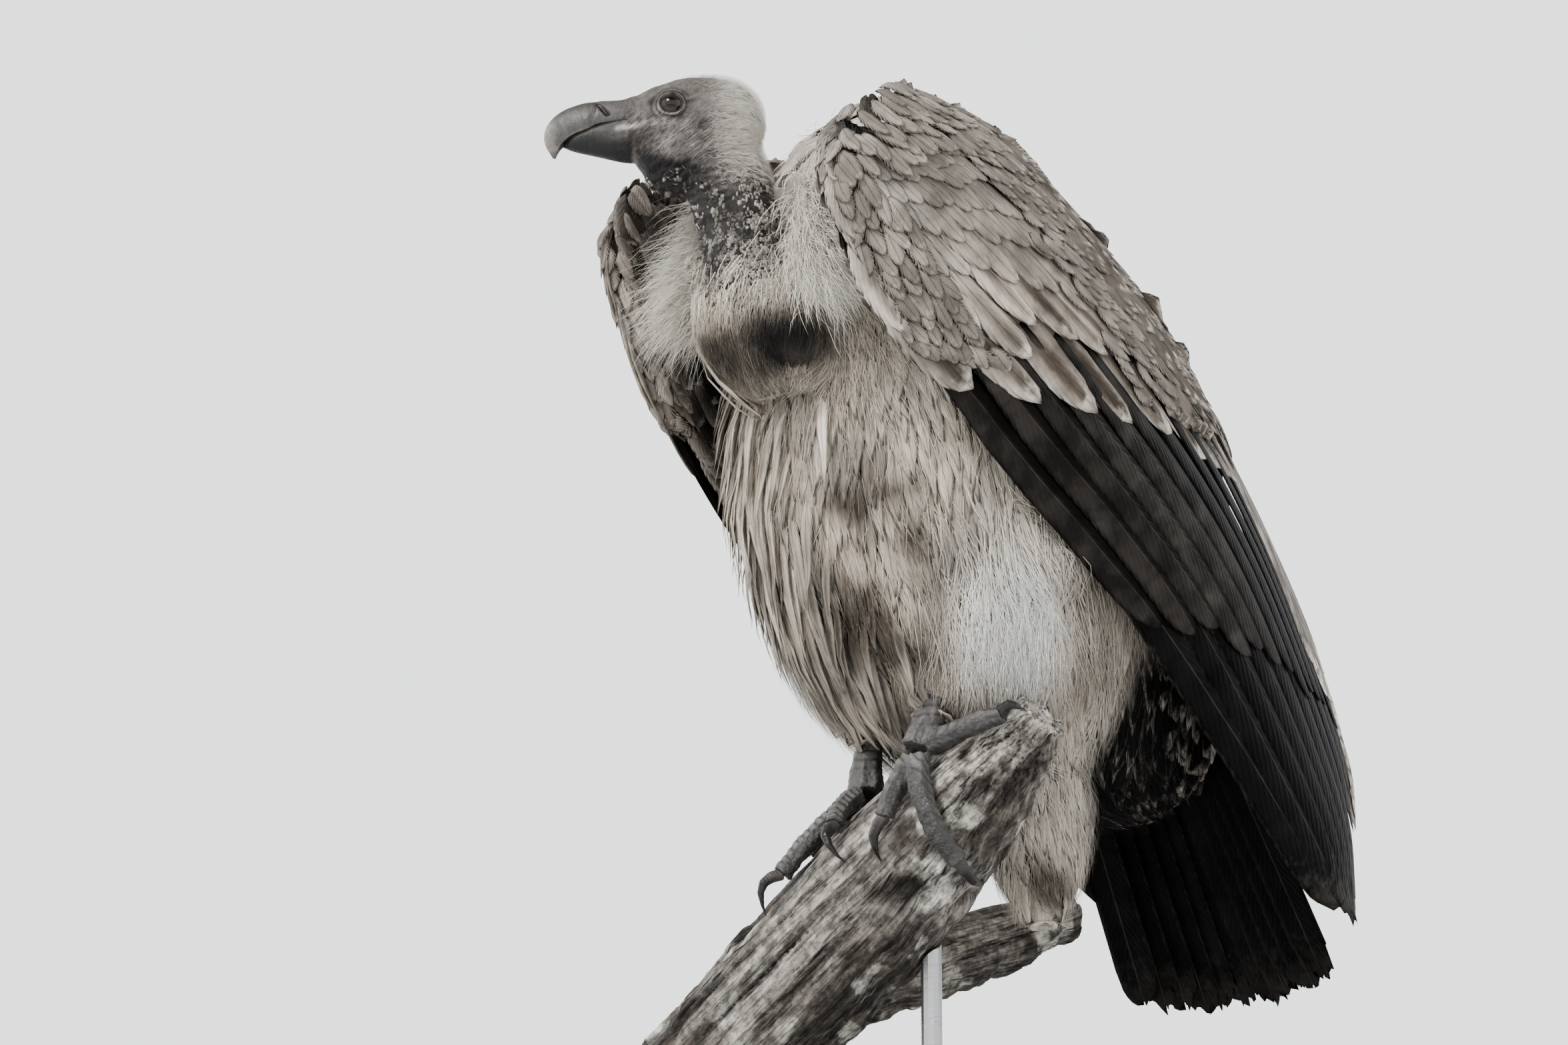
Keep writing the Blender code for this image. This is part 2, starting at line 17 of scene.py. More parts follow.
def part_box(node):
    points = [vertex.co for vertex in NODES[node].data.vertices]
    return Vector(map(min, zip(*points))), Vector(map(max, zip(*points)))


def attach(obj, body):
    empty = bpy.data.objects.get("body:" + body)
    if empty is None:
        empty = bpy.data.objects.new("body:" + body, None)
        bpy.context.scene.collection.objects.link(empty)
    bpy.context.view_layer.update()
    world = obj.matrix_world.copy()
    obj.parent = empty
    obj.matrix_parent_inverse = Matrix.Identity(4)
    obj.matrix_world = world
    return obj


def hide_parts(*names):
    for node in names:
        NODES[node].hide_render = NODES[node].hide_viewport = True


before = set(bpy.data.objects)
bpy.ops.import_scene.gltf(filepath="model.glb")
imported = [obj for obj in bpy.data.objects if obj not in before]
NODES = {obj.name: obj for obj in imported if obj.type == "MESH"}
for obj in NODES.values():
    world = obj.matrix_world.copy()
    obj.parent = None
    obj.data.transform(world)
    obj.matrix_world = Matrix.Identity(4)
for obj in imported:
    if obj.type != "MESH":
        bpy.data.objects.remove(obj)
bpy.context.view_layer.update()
LUCK = np.random.default_rng(11)
UP = np.array([0.0, 0.0, 1.0])

# The trunk's own directions, and a point on its axis under the mantle.
LEAN = math.radians(33.0)
DOWN = np.array([0.0, math.sin(LEAN), -math.cos(LEAN)])
BACK = np.array([0.0, math.cos(LEAN), math.sin(LEAN)])
CORE = np.array([0.0, 0.030, 0.620])

# The head's own directions, from the eyes.
EYE_BOXES = {side: np.array(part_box(f"eye_{side}")) for side in ("left", "right")}
EYE_SPOTS = {side: box.mean(axis=0) for side, box in EYE_BOXES.items()}
EYE_RADIUS = float(np.ptp(EYE_BOXES["left"][:, 2]) / 2)
EYES = (EYE_SPOTS["left"] + EYE_SPOTS["right"]) / 2
EYE_SPAN = EYE_SPOTS["left"] - EYE_SPOTS["right"]
HEAD_LEFT = EYE_SPAN / np.linalg.norm(EYE_SPAN)
HEAD_AHEAD = np.cross(HEAD_LEFT, UP)

# Colours.
CHEST = np.array([0.50, 0.42, 0.33])
CREAM = np.array([0.80, 0.75, 0.66])
BELLY_BROWN = np.array([0.16, 0.125, 0.095])
COVERT_TAN = np.array([0.37, 0.320, 0.268])
COVERT_TOP = np.array([0.21, 0.182, 0.156])
HEART_BROWN = np.array([0.085, 0.066, 0.052])
QUILL_GREY = np.array([0.020, 0.0175, 0.0155])
QUILL_BLACK = np.array([0.0025, 0.0022, 0.0022])
SKIN_DARK = np.array([0.014, 0.0125, 0.0122])
CHEEK_GREY = np.array([0.0975, 0.08625, 0.0775])
CERE_GREY = np.array([0.056, 0.052, 0.049])
BAND_BROWN = BELLY_BROWN * 0.52


# ---------------------------------------------------------------- small tools

def unit(vectors):
    vectors = np.asarray(vectors, float)
    return vectors / np.maximum(np.linalg.norm(vectors, axis=-1, keepdims=True), 1e-12)


def ease(values, low, high):
    """0 below low, 1 above high, smooth between."""
    t = np.clip((np.asarray(values, float) - low) / (high - low), 0, 1)
    return t * t * (3 - 2 * t)


def mixed(first, second, share):
    share = np.asarray(share, float)[..., None]
    return np.asarray(first) * (1 - share) + np.asarray(second) * share


def noise(points, size, seed=0):
    """Smooth noise from -1 to 1 on a lattice of the given size."""
    places = np.asarray(points, float) / size
    corner = np.floor(places).astype(np.int64)
    part = places - corner
    part = part * part * (3 - 2 * part)
    total = 0.0
    for step in np.ndindex(2, 2, 2):
        spot = corner + step
        code = spot[..., 0] * 374761393 + spot[..., 1] * 668265263 + spot[..., 2] * 1440662683
        code = (code + seed * 1274126177) & 0xFFFFFFFF
        code = ((code ^ (code >> 13)) * 1274126177) & 0xFFFFFFFF
        share = np.prod(np.where(step, part, 1 - part), axis=-1)
        total = total + share * (((code ^ (code >> 16)) & 0xFFFF) / 32767.5 - 1)
    return total


def drift(points, size, seed):
    """Smooth noise in three directions."""
    return np.stack([noise(points, size, seed + k) for k in range(3)], axis=-1)


def along_skin(way, normals, share=1.0):
    """A direction less its part across the skin."""
    return way - share * np.sum(way * normals, axis=1, keepdims=True) * normals


def both_sides(points):
    """Points with those of the right side counted as left."""
    return np.abs(points * [1, 0, 0]) + points * [0, 1, 1]


def all_over(colour, count):
    return np.repeat(np.asarray(colour)[None], count, axis=0)


def rough(points, size, octaves, seed=0):
    return sum(noise(points, size / 2 ** k, seed + k) / 2 ** k for k in range(octaves))


def ridge(away, width):
    """1 where away is 0, falling off smoothly within about the width."""
    return np.exp(-(away / width) ** 2)


def spot(first, width, second, height):
    """1 where both distances are 0, falling off within the width one way and the height the other."""
    return np.exp(-(first / width) ** 2 - (second / height) ** 2)


def lump(points, middle, radii):
    """A soft round hump, 1 at its middle."""
    away = (np.asarray(points) - middle) / np.asarray(radii)
    return np.exp(-np.sum(away ** 2, axis=-1))


def in_body(points):
    """Across, down the trunk's axis, and back from it."""
    away = np.asarray(points) - CORE
    return np.stack([away[..., 0], away @ DOWN, away @ BACK], axis=-1)


def in_head(points):
    """Ahead of the eyes, left of them and above them."""
    away = np.asarray(points) - EYES
    return np.stack([away @ HEAD_AHEAD, away @ HEAD_LEFT, away @ UP], axis=-1)


def from_head(places):
    places = np.asarray(places, float)
    return EYES + places[..., :1] * HEAD_AHEAD + places[..., 1:2] * HEAD_LEFT + places[..., 2:] * UP


def smooth_rows(rows, count):
    """The rows of a station table, read along a Catmull-Rom curve at count even steps."""
    rows = np.array(rows, float)
    padded = np.vstack([2 * rows[0] - rows[1], rows, 2 * rows[-1] - rows[-2]])
    steps = np.linspace(0, len(rows) - 1, count)
    index = np.minimum(steps.astype(int), len(rows) - 2)
    t = (steps - index)[:, None]
    p0, p1, p2, p3 = (padded[index + k] for k in range(4))
    return 0.5 * (2 * p1 + (p2 - p0) * t + (2 * p0 - 5 * p1 + 4 * p2 - p3) * t ** 2
                  + (3 * p1 - p0 - 3 * p2 + p3) * t ** 3)


# ---------------------------------------------------------------- meshes

def read(items, field, width, kind):
    flat = np.empty(len(items) * width, kind)
    items.foreach_get(field, flat)
    return flat.reshape(-1, width)


def points_of(mesh):
    return read(mesh.vertices, "co", 3, np.float32).astype(float)


def edges_of(mesh):
    return read(mesh.edges, "vertices", 2, np.int32)


def normals_of(mesh):
    return read(mesh.vertex_normals, "vector", 3, np.float32).astype(float)


def set_points(mesh, points):
    mesh.vertices.foreach_set("co", np.asarray(points, np.float32).ravel())
    mesh.update()


def built_mesh(name, points, faces):
    """A mesh from arrays; every face has as many corners as faces has columns."""
    mesh = bpy.data.meshes.new(name)
    mesh.vertices.add(len(points))
    mesh.vertices.foreach_set("co", np.asarray(points, np.float32).ravel())
    mesh.loops.add(faces.size)
    mesh.loops.foreach_set("vertex_index", faces.ravel().astype(np.int32))
    mesh.polygons.add(len(faces))
    starts = np.arange(len(faces), dtype=np.int32) * faces.shape[1]
    mesh.polygons.foreach_set("loop_start", starts)
    mesh.update(calc_edges=True)
    mesh.shade_smooth()
    return mesh


def store(mesh, name, kind, field, values):
    layer = mesh.attributes.new(name, kind, "POINT")
    layer.data.foreach_set(field, np.asarray(values, np.float32).ravel())


def tube_faces(rows, columns):
    """The triangles of a closed tube whose two hubs follow its rows of points."""
    index = np.arange(rows * columns).reshape(rows, columns)
    after = np.roll(index, -1, axis=1)
    quads = np.stack([index[:-1], index[1:], after[1:], after[:-1]], axis=-1).reshape(-1, 4)
    caps = [np.stack([np.full(columns, index.size), index[0], after[0]], axis=-1),
            np.stack([np.full(columns, index.size + 1), after[-1], index[-1]], axis=-1)]
    return np.concatenate([quads[:, [0, 1, 2]], quads[:, [0, 2, 3]], *caps])


def paint(mesh, name, colours):
    whole = np.ones((len(mesh.vertices), 4), np.float32)
    whole[:, :colours.shape[1]] = colours
    store(mesh, name, "FLOAT_COLOR", "color", whole)


def add_map(mesh, name, places):
    """A UV map from one place for each vertex."""
    corners = read(mesh.loops, "vertex_index", 1, np.int32).ravel()
    layer = mesh.uv_layers.new(name=name, do_init=False)
    layer.uv.foreach_set("vector", np.asarray(places, np.float32)[corners].ravel())


def in_scene(name, data):
    thing = bpy.data.objects.new(name, data)
    bpy.context.scene.collection.objects.link(thing)
    return thing


def evaluated(holder):
    """A plain mesh from an object with its modifiers applied; the object is removed."""
    graph = bpy.context.evaluated_depsgraph_get()
    result = bpy.data.meshes.new_from_object(holder.evaluated_get(graph))
    source = holder.data
    bpy.data.objects.remove(holder)
    bpy.data.meshes.remove(source)
    return result


def placed(name, mesh, finish, slot, *replaced):
    """Puts a finished mesh in the scene, riding with the model."""
    mesh.materials.clear()
    mesh.materials.append(finish)
    piece = in_scene(name, mesh)
    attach(piece, "root")
    if replaced:
        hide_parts(*replaced)
    return piece


def relaxed(points, edges, rounds, share=None):
    """Smooths points along their edges without shrinking them."""
    count = len(points)
    ends = np.concatenate([edges[:, 0], edges[:, 1]])
    others = np.concatenate([edges[:, 1], edges[:, 0]])
    degree = np.maximum(np.bincount(ends, minlength=count), 1)
    share = np.ones(count) if share is None else share
    for step in range(2 * rounds):
        near = [np.bincount(ends, weights=points[others, k], minlength=count) for k in range(3)]
        mean = np.stack(near, axis=-1) / degree[:, None]
        points = points + (mean - points) * ((0.55 if step % 2 == 0 else -0.57) * share)[:, None]
    return points


def averaged(values, edges, rounds):
    """Spreads a value over neighbouring points."""
    ends = np.concatenate([edges[:, 0], edges[:, 1]])
    others = np.concatenate([edges[:, 1], edges[:, 0]])
    degree = np.maximum(np.bincount(ends, minlength=len(values)), 1)
    for _ in range(rounds):
        values = 0.5 * values + 0.5 * np.bincount(ends, values[others], len(values)) / degree
    return values


def joined_copy(names, swell):
    """One bmesh from copies of CAD nodes, each standing out a little so that they meet."""
    shape = bmesh.new()
    for name in names:
        shape.from_mesh(NODES[name].data)
    bmesh.ops.remove_doubles(shape, verts=shape.verts[:], dist=1e-5)
    shape.normal_update()
    moves = [vertex.normal * swell for vertex in shape.verts]
    for vertex, move in zip(shape.verts, moves):
        vertex.co += move
    return shape


def voxel_mesh(names, swell, voxel):
    """The nodes' union as one closed mesh of even small faces."""
    shape = joined_copy(names, swell)
    mesh = bpy.data.meshes.new("union")
    shape.to_mesh(mesh)
    shape.free()
    holder = in_scene("union", mesh)
    step = holder.modifiers.new("even", "REMESH")
    step.mode = "VOXEL"
    step.voxel_size = voxel
    return evaluated(holder)


def refined(mesh, chosen):
    """Splits the faces whose vertices all answer to chosen, a test on an array of points."""
    shape = bmesh.new()
    shape.from_mesh(mesh)
    inside = chosen(np.array([vertex.co[:] for vertex in shape.verts]))
    faces = [face for face in shape.faces if all(inside[v.index] for v in face.verts)]
    edges = list({edge for face in faces for edge in face.edges})
    bmesh.ops.subdivide_edges(shape, edges=edges, cuts=1, use_grid_fill=True)
    shape.to_mesh(mesh)
    shape.free()
    mesh.update()


def tree_of(names):
    """A search tree over CAD nodes, with the node number of each face."""
    points, faces, owners = [], [], []
    for number, name in enumerate(names):
        mesh = NODES[name].data
        base = len(points)
        points += [vertex.co.copy() for vertex in mesh.vertices]
        faces += [[base + i for i in face.vertices] for face in mesh.polygons]
        owners += [number] * len(mesh.polygons)
    return BVHTree.FromPolygons(points, faces), np.array(owners)


# ---------------------------------------------------------------- materials

def new_finish(name):
    finish = bpy.data.materials.new(name)
    finish.use_nodes = True
    return finish, finish.node_tree, finish.node_tree.nodes["Principled BSDF"]


def node(tree, kind, inputs=(), **settings):
    """A shader node with its settings, and its inputs set or linked by name or number."""
    made = tree.nodes.new("ShaderNode" + kind)
    for key, value in settings.items():
        setattr(made, key, value)
    for key, value in dict(inputs).items():
        if isinstance(value, bpy.types.NodeSocket):
            tree.links.new(value, made.inputs[key])
        else:
            made.inputs[key].default_value = value
    return made


def math_of(tree, operation, first, second=0.0, third=0.0):
    inputs = {0: first, 1: second, 2: third}
    return node(tree, "Math", inputs, operation=operation).outputs[0]


def times(tree, first, second):
    return math_of(tree, "MULTIPLY", first, second)


def plus(tree, first, second):
    return math_of(tree, "ADD", first, second)


def times_plus(tree, first, second, third):
    return math_of(tree, "MULTIPLY_ADD", first, second, third)


def ramp(tree, value, low, high, start=0.0, end=1.0):
    made = node(tree, "MapRange", {"Value": value, "From Min": low, "From Max": high,
                                   "To Min": start, "To Max": end})
    made.interpolation_type = "SMOOTHSTEP"
    return made.outputs[0]


def blend_of(tree, share, first, second, way="MIX"):
    made = node(tree, "Mix", data_type="RGBA", blend_type=way)
    for key, value in ((0, share), (6, first), (7, second)):
        if isinstance(value, bpy.types.NodeSocket):
            tree.links.new(value, made.inputs[key])
        elif key == 0:
            made.inputs[0].default_value = value
        else:
            made.inputs[key].default_value = (*value, 1.0)
    return made.outputs[2]


def painted(tree, name):
    return node(tree, "Attribute", attribute_name=name)


def shaded(tree, tone, shade):
    """A colour made lighter or darker by a value."""
    grey = node(tree, "CombineColor", {0: shade, 1: shade, 2: shade}).outputs[0]
    return blend_of(tree, 1.0, tone, grey, "MULTIPLY")


def set_shader(tree, shader, values):
    """Sets or links the shader's own sockets, by name."""
    for key, value in values.items():
        if isinstance(value, bpy.types.NodeSocket):
            tree.links.new(value, shader.inputs[key])
        else:
            shader.inputs[key].default_value = value


def object_place(tree, scale=(1, 1, 1)):
    place = node(tree, "TexCoord").outputs["Object"]
    return node(tree, "Mapping", {"Vector": place, "Scale": scale}).outputs[0]


def speckle(tree, size, detail=3.0, place=None, roughness=0.55):
    place = place or object_place(tree)
    made = node(tree, "TexNoise", {"Vector": place, "Scale": 1 / size, "Detail": detail,
                                   "Roughness": roughness})
    return made.outputs["Fac"]


def stretched_noise(tree, place, scale, detail, **more):
    inputs = {"Vector": place, "Scale": scale, "Detail": detail}
    inputs.update({key.capitalize(): value for key, value in more.items()})
    return node(tree, "TexNoise", inputs).outputs["Fac"]


def bumped(tree, height, distance, strength=1.0, below=None):
    inputs = {"Height": height, "Distance": distance, "Strength": strength}
    if below:
        inputs["Normal"] = below
    return node(tree, "Bump", inputs).outputs[0]


def vane_finish(name, roughness, barb_count, barb_slant, edge_width=0.30, mottle=0.25):
    """A feather: tone at each point, pale edges, a dark heart, a shaft and fine slanting barbs.

    The marks attribute holds the strength of the edge, heart and mottling, and of the dark web.
    """
    finish, tree, shader = new_finish(name)
    tone = painted(tree, "tone").outputs["Color"]
    all_marks = painted(tree, "marks")
    marks = node(tree, "SeparateColor", {0: all_marks.outputs["Color"]})
    place = node(tree, "SeparateXYZ", {0: node(tree, "UVMap", uv_map="vane").outputs[0]})
    across = math_of(tree, "ABSOLUTE", times_plus(tree, place.outputs[0], 2.0, -1.0))
    along = place.outputs[1]
    grain = speckle(tree, 0.006, 4.0)
    blotch = speckle(tree, 0.022, 3.0)
    wander = times_plus(tree, grain, 0.30, -0.15)
    rim = math_of(tree, "MAXIMUM",
                 ramp(tree, plus(tree, across, wander), 1 - edge_width, 1.0),
                 ramp(tree, plus(tree, along, wander), 0.86, 1.0))
    edge = times(tree, rim, marks.outputs[0])
    heart = times(tree, ramp(tree, plus(tree, across, wander), 0.75, 0.15),
                   ramp(tree, along, 0.15, 0.6))
    heart = times(tree, heart, marks.outputs[1])
    slant = times(tree, across, barb_slant)
    phase = times(tree, math_of(tree, "SUBTRACT", along, slant), barb_count)
    uneven = times_plus(tree, grain, 5.0, phase)
    barbs = math_of(tree, "SINE", uneven)
    barb_shade = times_plus(tree, barbs, 0.07, 0.98)
    patches = times(tree, ramp(tree, blotch, 0.35, 0.65, -mottle, mottle), marks.outputs[2])
    shade = times(tree, barb_shade, plus(tree, patches, 1.0))
    web = times(tree, ramp(tree, place.outputs[0], 0.56, 0.38), all_marks.outputs["Alpha"])
    dark = blend_of(tree, heart, tone, (0.22, 0.20, 0.18), "MULTIPLY")
    dark = blend_of(tree, web, dark, (0.16, 0.15, 0.14), "MULTIPLY")
    pale = blend_of(tree, edge, dark, (0.74, 0.68, 0.58))
    shaft = ramp(tree, across, 0.055, 0.02)
    lined = blend_of(tree, times(tree, shaft, 0.45), pale, (0.05, 0.04, 0.032))
    tree.links.new(shaded(tree, lined, shade), shader.inputs["Base Color"])
    ridge = plus(tree, times(tree, barbs, 0.35),
                   times(tree, shaft, 1.6))
    tree.links.new(bumped(tree, ridge, 0.00035), shader.inputs["Normal"])
    set_shader(tree, shader, {"Roughness": roughness, "Specular IOR Level": 0.025})
    return finish


def down_finish(name, roughness=0.9):
    """Soft blades: tone at each point and a faint unevenness."""
    finish, tree, shader = new_finish(name)
    tone = painted(tree, "tone").outputs["Color"]
    shade = ramp(tree, speckle(tree, 0.004, 2.0), 0.3, 0.7, 0.86, 1.08)
    tree.links.new(shaded(tree, tone, shade), shader.inputs["Base Color"])
    set_shader(tree, shader, {"Roughness": roughness, "Specular IOR Level": 0.08,
                              "Subsurface Weight": 0.12, "Subsurface Radius": (0.004, 0.003, 0.002)})
    return finish


def skin_shade(tree):
    """The unevenness of bare skin: pores, folds and, where asked for, combed wrinkles."""
    pores = speckle(tree, 0.0011, 3.0)
    folds = speckle(tree, 0.004, 4.0)
    combed = painted(tree, "combed").outputs["Vector"]
    fibre = stretched_noise(tree, combed, 1.0, 3.0, roughness=0.6)
    strength = painted(tree, "wrinkled").outputs["Fac"]
    strokes = times(tree, ramp(tree, fibre, 0.36, 0.64, -1.0, 1.0), strength)
    shade = plus(tree, ramp(tree, pores, 0.3, 0.7, -0.16, 0.16),
                   ramp(tree, folds, 0.3, 0.7, 0.80, 1.20))
    return times_plus(tree, strokes, 0.42, shade), strokes, pores, folds


def skin_finish():
    """Bare wrinkled skin and, under the feathers, plain skin in the plumage's colour, dimmed as painted shade
    and darker still as painted shadow near the folded wings.
    """
    finish, tree, shader = new_finish("bare_and_feathered_skin")
    tone = painted(tree, "tone").outputs["Color"]
    shade, strokes, pores, folds = skin_shade(tree)
    tree.links.new(shaded(tree, tone, shade), shader.inputs["Base Color"])
    first = bumped(tree, folds, 0.0009)
    second = bumped(tree, pores, 0.00045, below=first)
    tree.links.new(bumped(tree, strokes, 0.00045, below=second), shader.inputs["Normal"])
    tree.links.new(ramp(tree, folds, 0.3, 0.7, 0.55, 0.76), shader.inputs["Roughness"])
    shader.inputs["Specular IOR Level"].default_value = 0.18
    return finish


def horn_finish(name, roughness):
    """Worn horn: tone at each point, growth lines along it and scuffs, turning to skin where asked."""
    finish, tree, shader = new_finish(name)
    tone = painted(tree, "tone").outputs["Color"]
    place = node(tree, "SeparateXYZ", {0: node(tree, "UVMap", uv_map="grain").outputs[0]})
    worn = speckle(tree, 0.005, 5.0)
    scuff = speckle(tree, 0.0012, 3.0)
    wave = math_of(tree, "SINE", times_plus(tree, place.outputs[1], 90.0,
                                       times(tree, worn, 9.0)))
    shade = plus(tree, ramp(tree, worn, 0.3, 0.7, 0.80, 1.15),
                   times(tree, wave, 0.035))
    shade = plus(tree, shade, ramp(tree, scuff, 0.35, 0.7, -0.08, 0.12))
    height = plus(tree, times(tree, wave, 0.3), scuff)
    rub = ramp(tree, worn, 0.3, 0.7, roughness - 0.08, roughness + 0.12)
    soft = painted(tree, "soft").outputs["Fac"]
    hard = math_of(tree, "SUBTRACT", 1.0, soft)
    skin, _, pores, folds = skin_shade(tree)
    shade = times_plus(tree, skin, soft, times(tree, shade, hard))
    tree.links.new(shaded(tree, tone, shade), shader.inputs["Base Color"])
    first = bumped(tree, times(tree, folds, soft), 0.0009)
    second = bumped(tree, times(tree, pores, soft), 0.00045, below=first)
    tree.links.new(bumped(tree, times(tree, height, hard), 0.00018, below=second),
                   shader.inputs["Normal"])
    rub = times_plus(tree, soft, 0.25, rub)
    tree.links.new(rub, shader.inputs["Roughness"])
    shader.inputs["Specular IOR Level"].default_value = 0.24
    return finish


def wood_finish():
    """Grey dead wood: tone at each point, long fibres and fine checks along the limb."""
    finish, tree, shader = new_finish("weathered_limb")
    tone = painted(tree, "tone").outputs["Color"]
    fibre_place = painted(tree, "straight").outputs["Vector"]
    stretch = node(tree, "Mapping", {"Vector": fibre_place, "Scale": (1.0, 1.0, 0.09)}).outputs[0]
    fibres = stretched_noise(tree, stretch, 520.0, 5.0, roughness=0.65)
    streaks = stretched_noise(tree, stretch, 130.0, 4.0)
    spots = speckle(tree, 0.007, 5.0, roughness=0.7)
    shade = plus(tree, ramp(tree, fibres, 0.32, 0.68, -0.55, 0.50),
                   ramp(tree, streaks, 0.36, 0.64, 0.50, 1.45))
    shade = times(tree, shade, ramp(tree, spots, 0.40, 0.60, 0.55, 1.30))
    tree.links.new(shaded(tree, tone, shade), shader.inputs["Base Color"])
    first = bumped(tree, streaks, 0.0030)
    second = bumped(tree, fibres, 0.0014, below=first)
    tree.links.new(bumped(tree, spots, 0.0012, below=second), shader.inputs["Normal"])
    set_shader(tree, shader, {"Roughness": 0.88, "Specular IOR Level": 0.2})
    return finish


def eye_finish():
    """A wet dark eye: near-black pupil, deep brown iris with fine rays, under a clear coat."""
    finish, tree, shader = new_finish("wet_eye")
    place = node(tree, "UVMap", uv_map="iris").outputs[0]
    parts = node(tree, "SeparateXYZ", {0: place})
    away = parts.outputs[0]
    rays = math_of(tree, "SINE", times(tree, parts.outputs[1], 210.0))
    iris = blend_of(tree, ramp(tree, rays, -1.0, 1.0, 0.0, 1.0), (0.010, 0.006, 0.004),
                    (0.026, 0.014, 0.008))
    rimmed = blend_of(tree, ramp(tree, away, 0.60, 0.76), iris, (0.002, 0.0015, 0.0015))
    whole = blend_of(tree, ramp(tree, away, 0.44, 0.38), rimmed, (0.001, 0.001, 0.001))
    tree.links.new(whole, shader.inputs["Base Color"])
    set_shader(tree, shader, {"Roughness": 0.10, "Specular IOR Level": 0.12, "Coat Weight": 0.8,
                              "Coat Roughness": 0.02, "Coat IOR": 1.34})
    return finish


def board_finish():
    finish, tree, shader = new_finish("stained_board")
    grain = stretched_noise(tree, object_place(tree, (9.0, 1.0, 9.0)), 22.0, 6.0, distortion=0.6)
    pores = stretched_noise(tree, object_place(tree, (30.0, 1.2, 30.0)), 40.0, 3.0)
    colour = blend_of(tree, ramp(tree, grain, 0.32, 0.68), (0.030, 0.022, 0.016), (0.085, 0.060, 0.042))
    tree.links.new(colour, shader.inputs["Base Color"])
    tree.links.new(bumped(tree, pores, 0.0006), shader.inputs["Normal"])
    tree.links.new(ramp(tree, pores, 0.3, 0.7, 0.34, 0.50), shader.inputs["Roughness"])
    return finish


def steel_finish():
    finish, tree, shader = new_finish("satin_steel")
    lines = stretched_noise(tree, object_place(tree, (1.0, 1.0, 60.0)), 60.0, 3.0)
    tree.links.new(bumped(tree, lines, 0.0002), shader.inputs["Normal"])
    tree.links.new(ramp(tree, lines, 0.3, 0.7, 0.26, 0.40), shader.inputs["Roughness"])
    set_shader(tree, shader, {"Base Color": (0.42, 0.42, 0.43, 1.0), "Metallic": 1.0})
    return finish


# ---------------------------------------------------------------- feathers

PATCH = 0.003                     # a small tuft's share of its piece's bake map


def spot_patches(roots, local):
    """Each tuft's patch of the bake map, at its root's place on the body's unwrap."""
    across, down, back = in_body(roots).T
    turn = np.arctan2(across, -back) / (2 * math.pi) + 0.5
    length = (down + 0.32) / 0.90
    middle = np.stack([turn, length], axis=-1) * 0.98 + 0.01
    return middle[:, None, :] + (local[None, :, :] - 0.5) * PATCH


def grid_patches(count, local):
    """A cell of the bake map for each feather of an ordered set."""
    side = int(math.ceil(math.sqrt(count)))
    number = np.arange(count)
    corner = np.stack([number % side, number // side], axis=-1) / side
    return corner[:, None, :] + (local[None, :, :] * 0.92 + 0.04) / side


def vane_outline(rows, tip, sharp):
    """Places along a feather and its half width there, for an end of the given length."""
    t = 1 - (1 - np.linspace(0, 1, rows)) ** 1.35
    base = 0.30 + 0.70 * np.sin(np.clip(t / 0.45, 0, 1) * math.pi / 2)
    end = np.clip(1 - np.clip((t - (1 - tip)) / tip, 0, 1) ** 2, 0, 1) ** (0.95 if sharp else 0.5)
    return t, base * np.maximum(end, 0.07)


def vane_faces(rows, columns):
    """The faces of one closed vane: a grid above, and one below that shares its rim."""
    grid_index = np.arange(rows * (columns + 1)).reshape(rows, columns + 1)
    low_index = grid_index.copy()
    inner = (rows - 2) * (columns - 1)
    low_index[1:-1, 1:-1] = rows * (columns + 1) + np.arange(inner).reshape(rows - 2, columns - 1)
    quads = []
    for index, order in ((grid_index, (0, 3, 2, 1)), (low_index, (0, 1, 2, 3))):
        ring = (index[:-1, :-1], index[1:, :-1], index[1:, 1:], index[:-1, 1:])
        quads.append(np.stack([ring[k].ravel() for k in order], axis=-1))
    return np.concatenate(quads), grid_index.size + inner


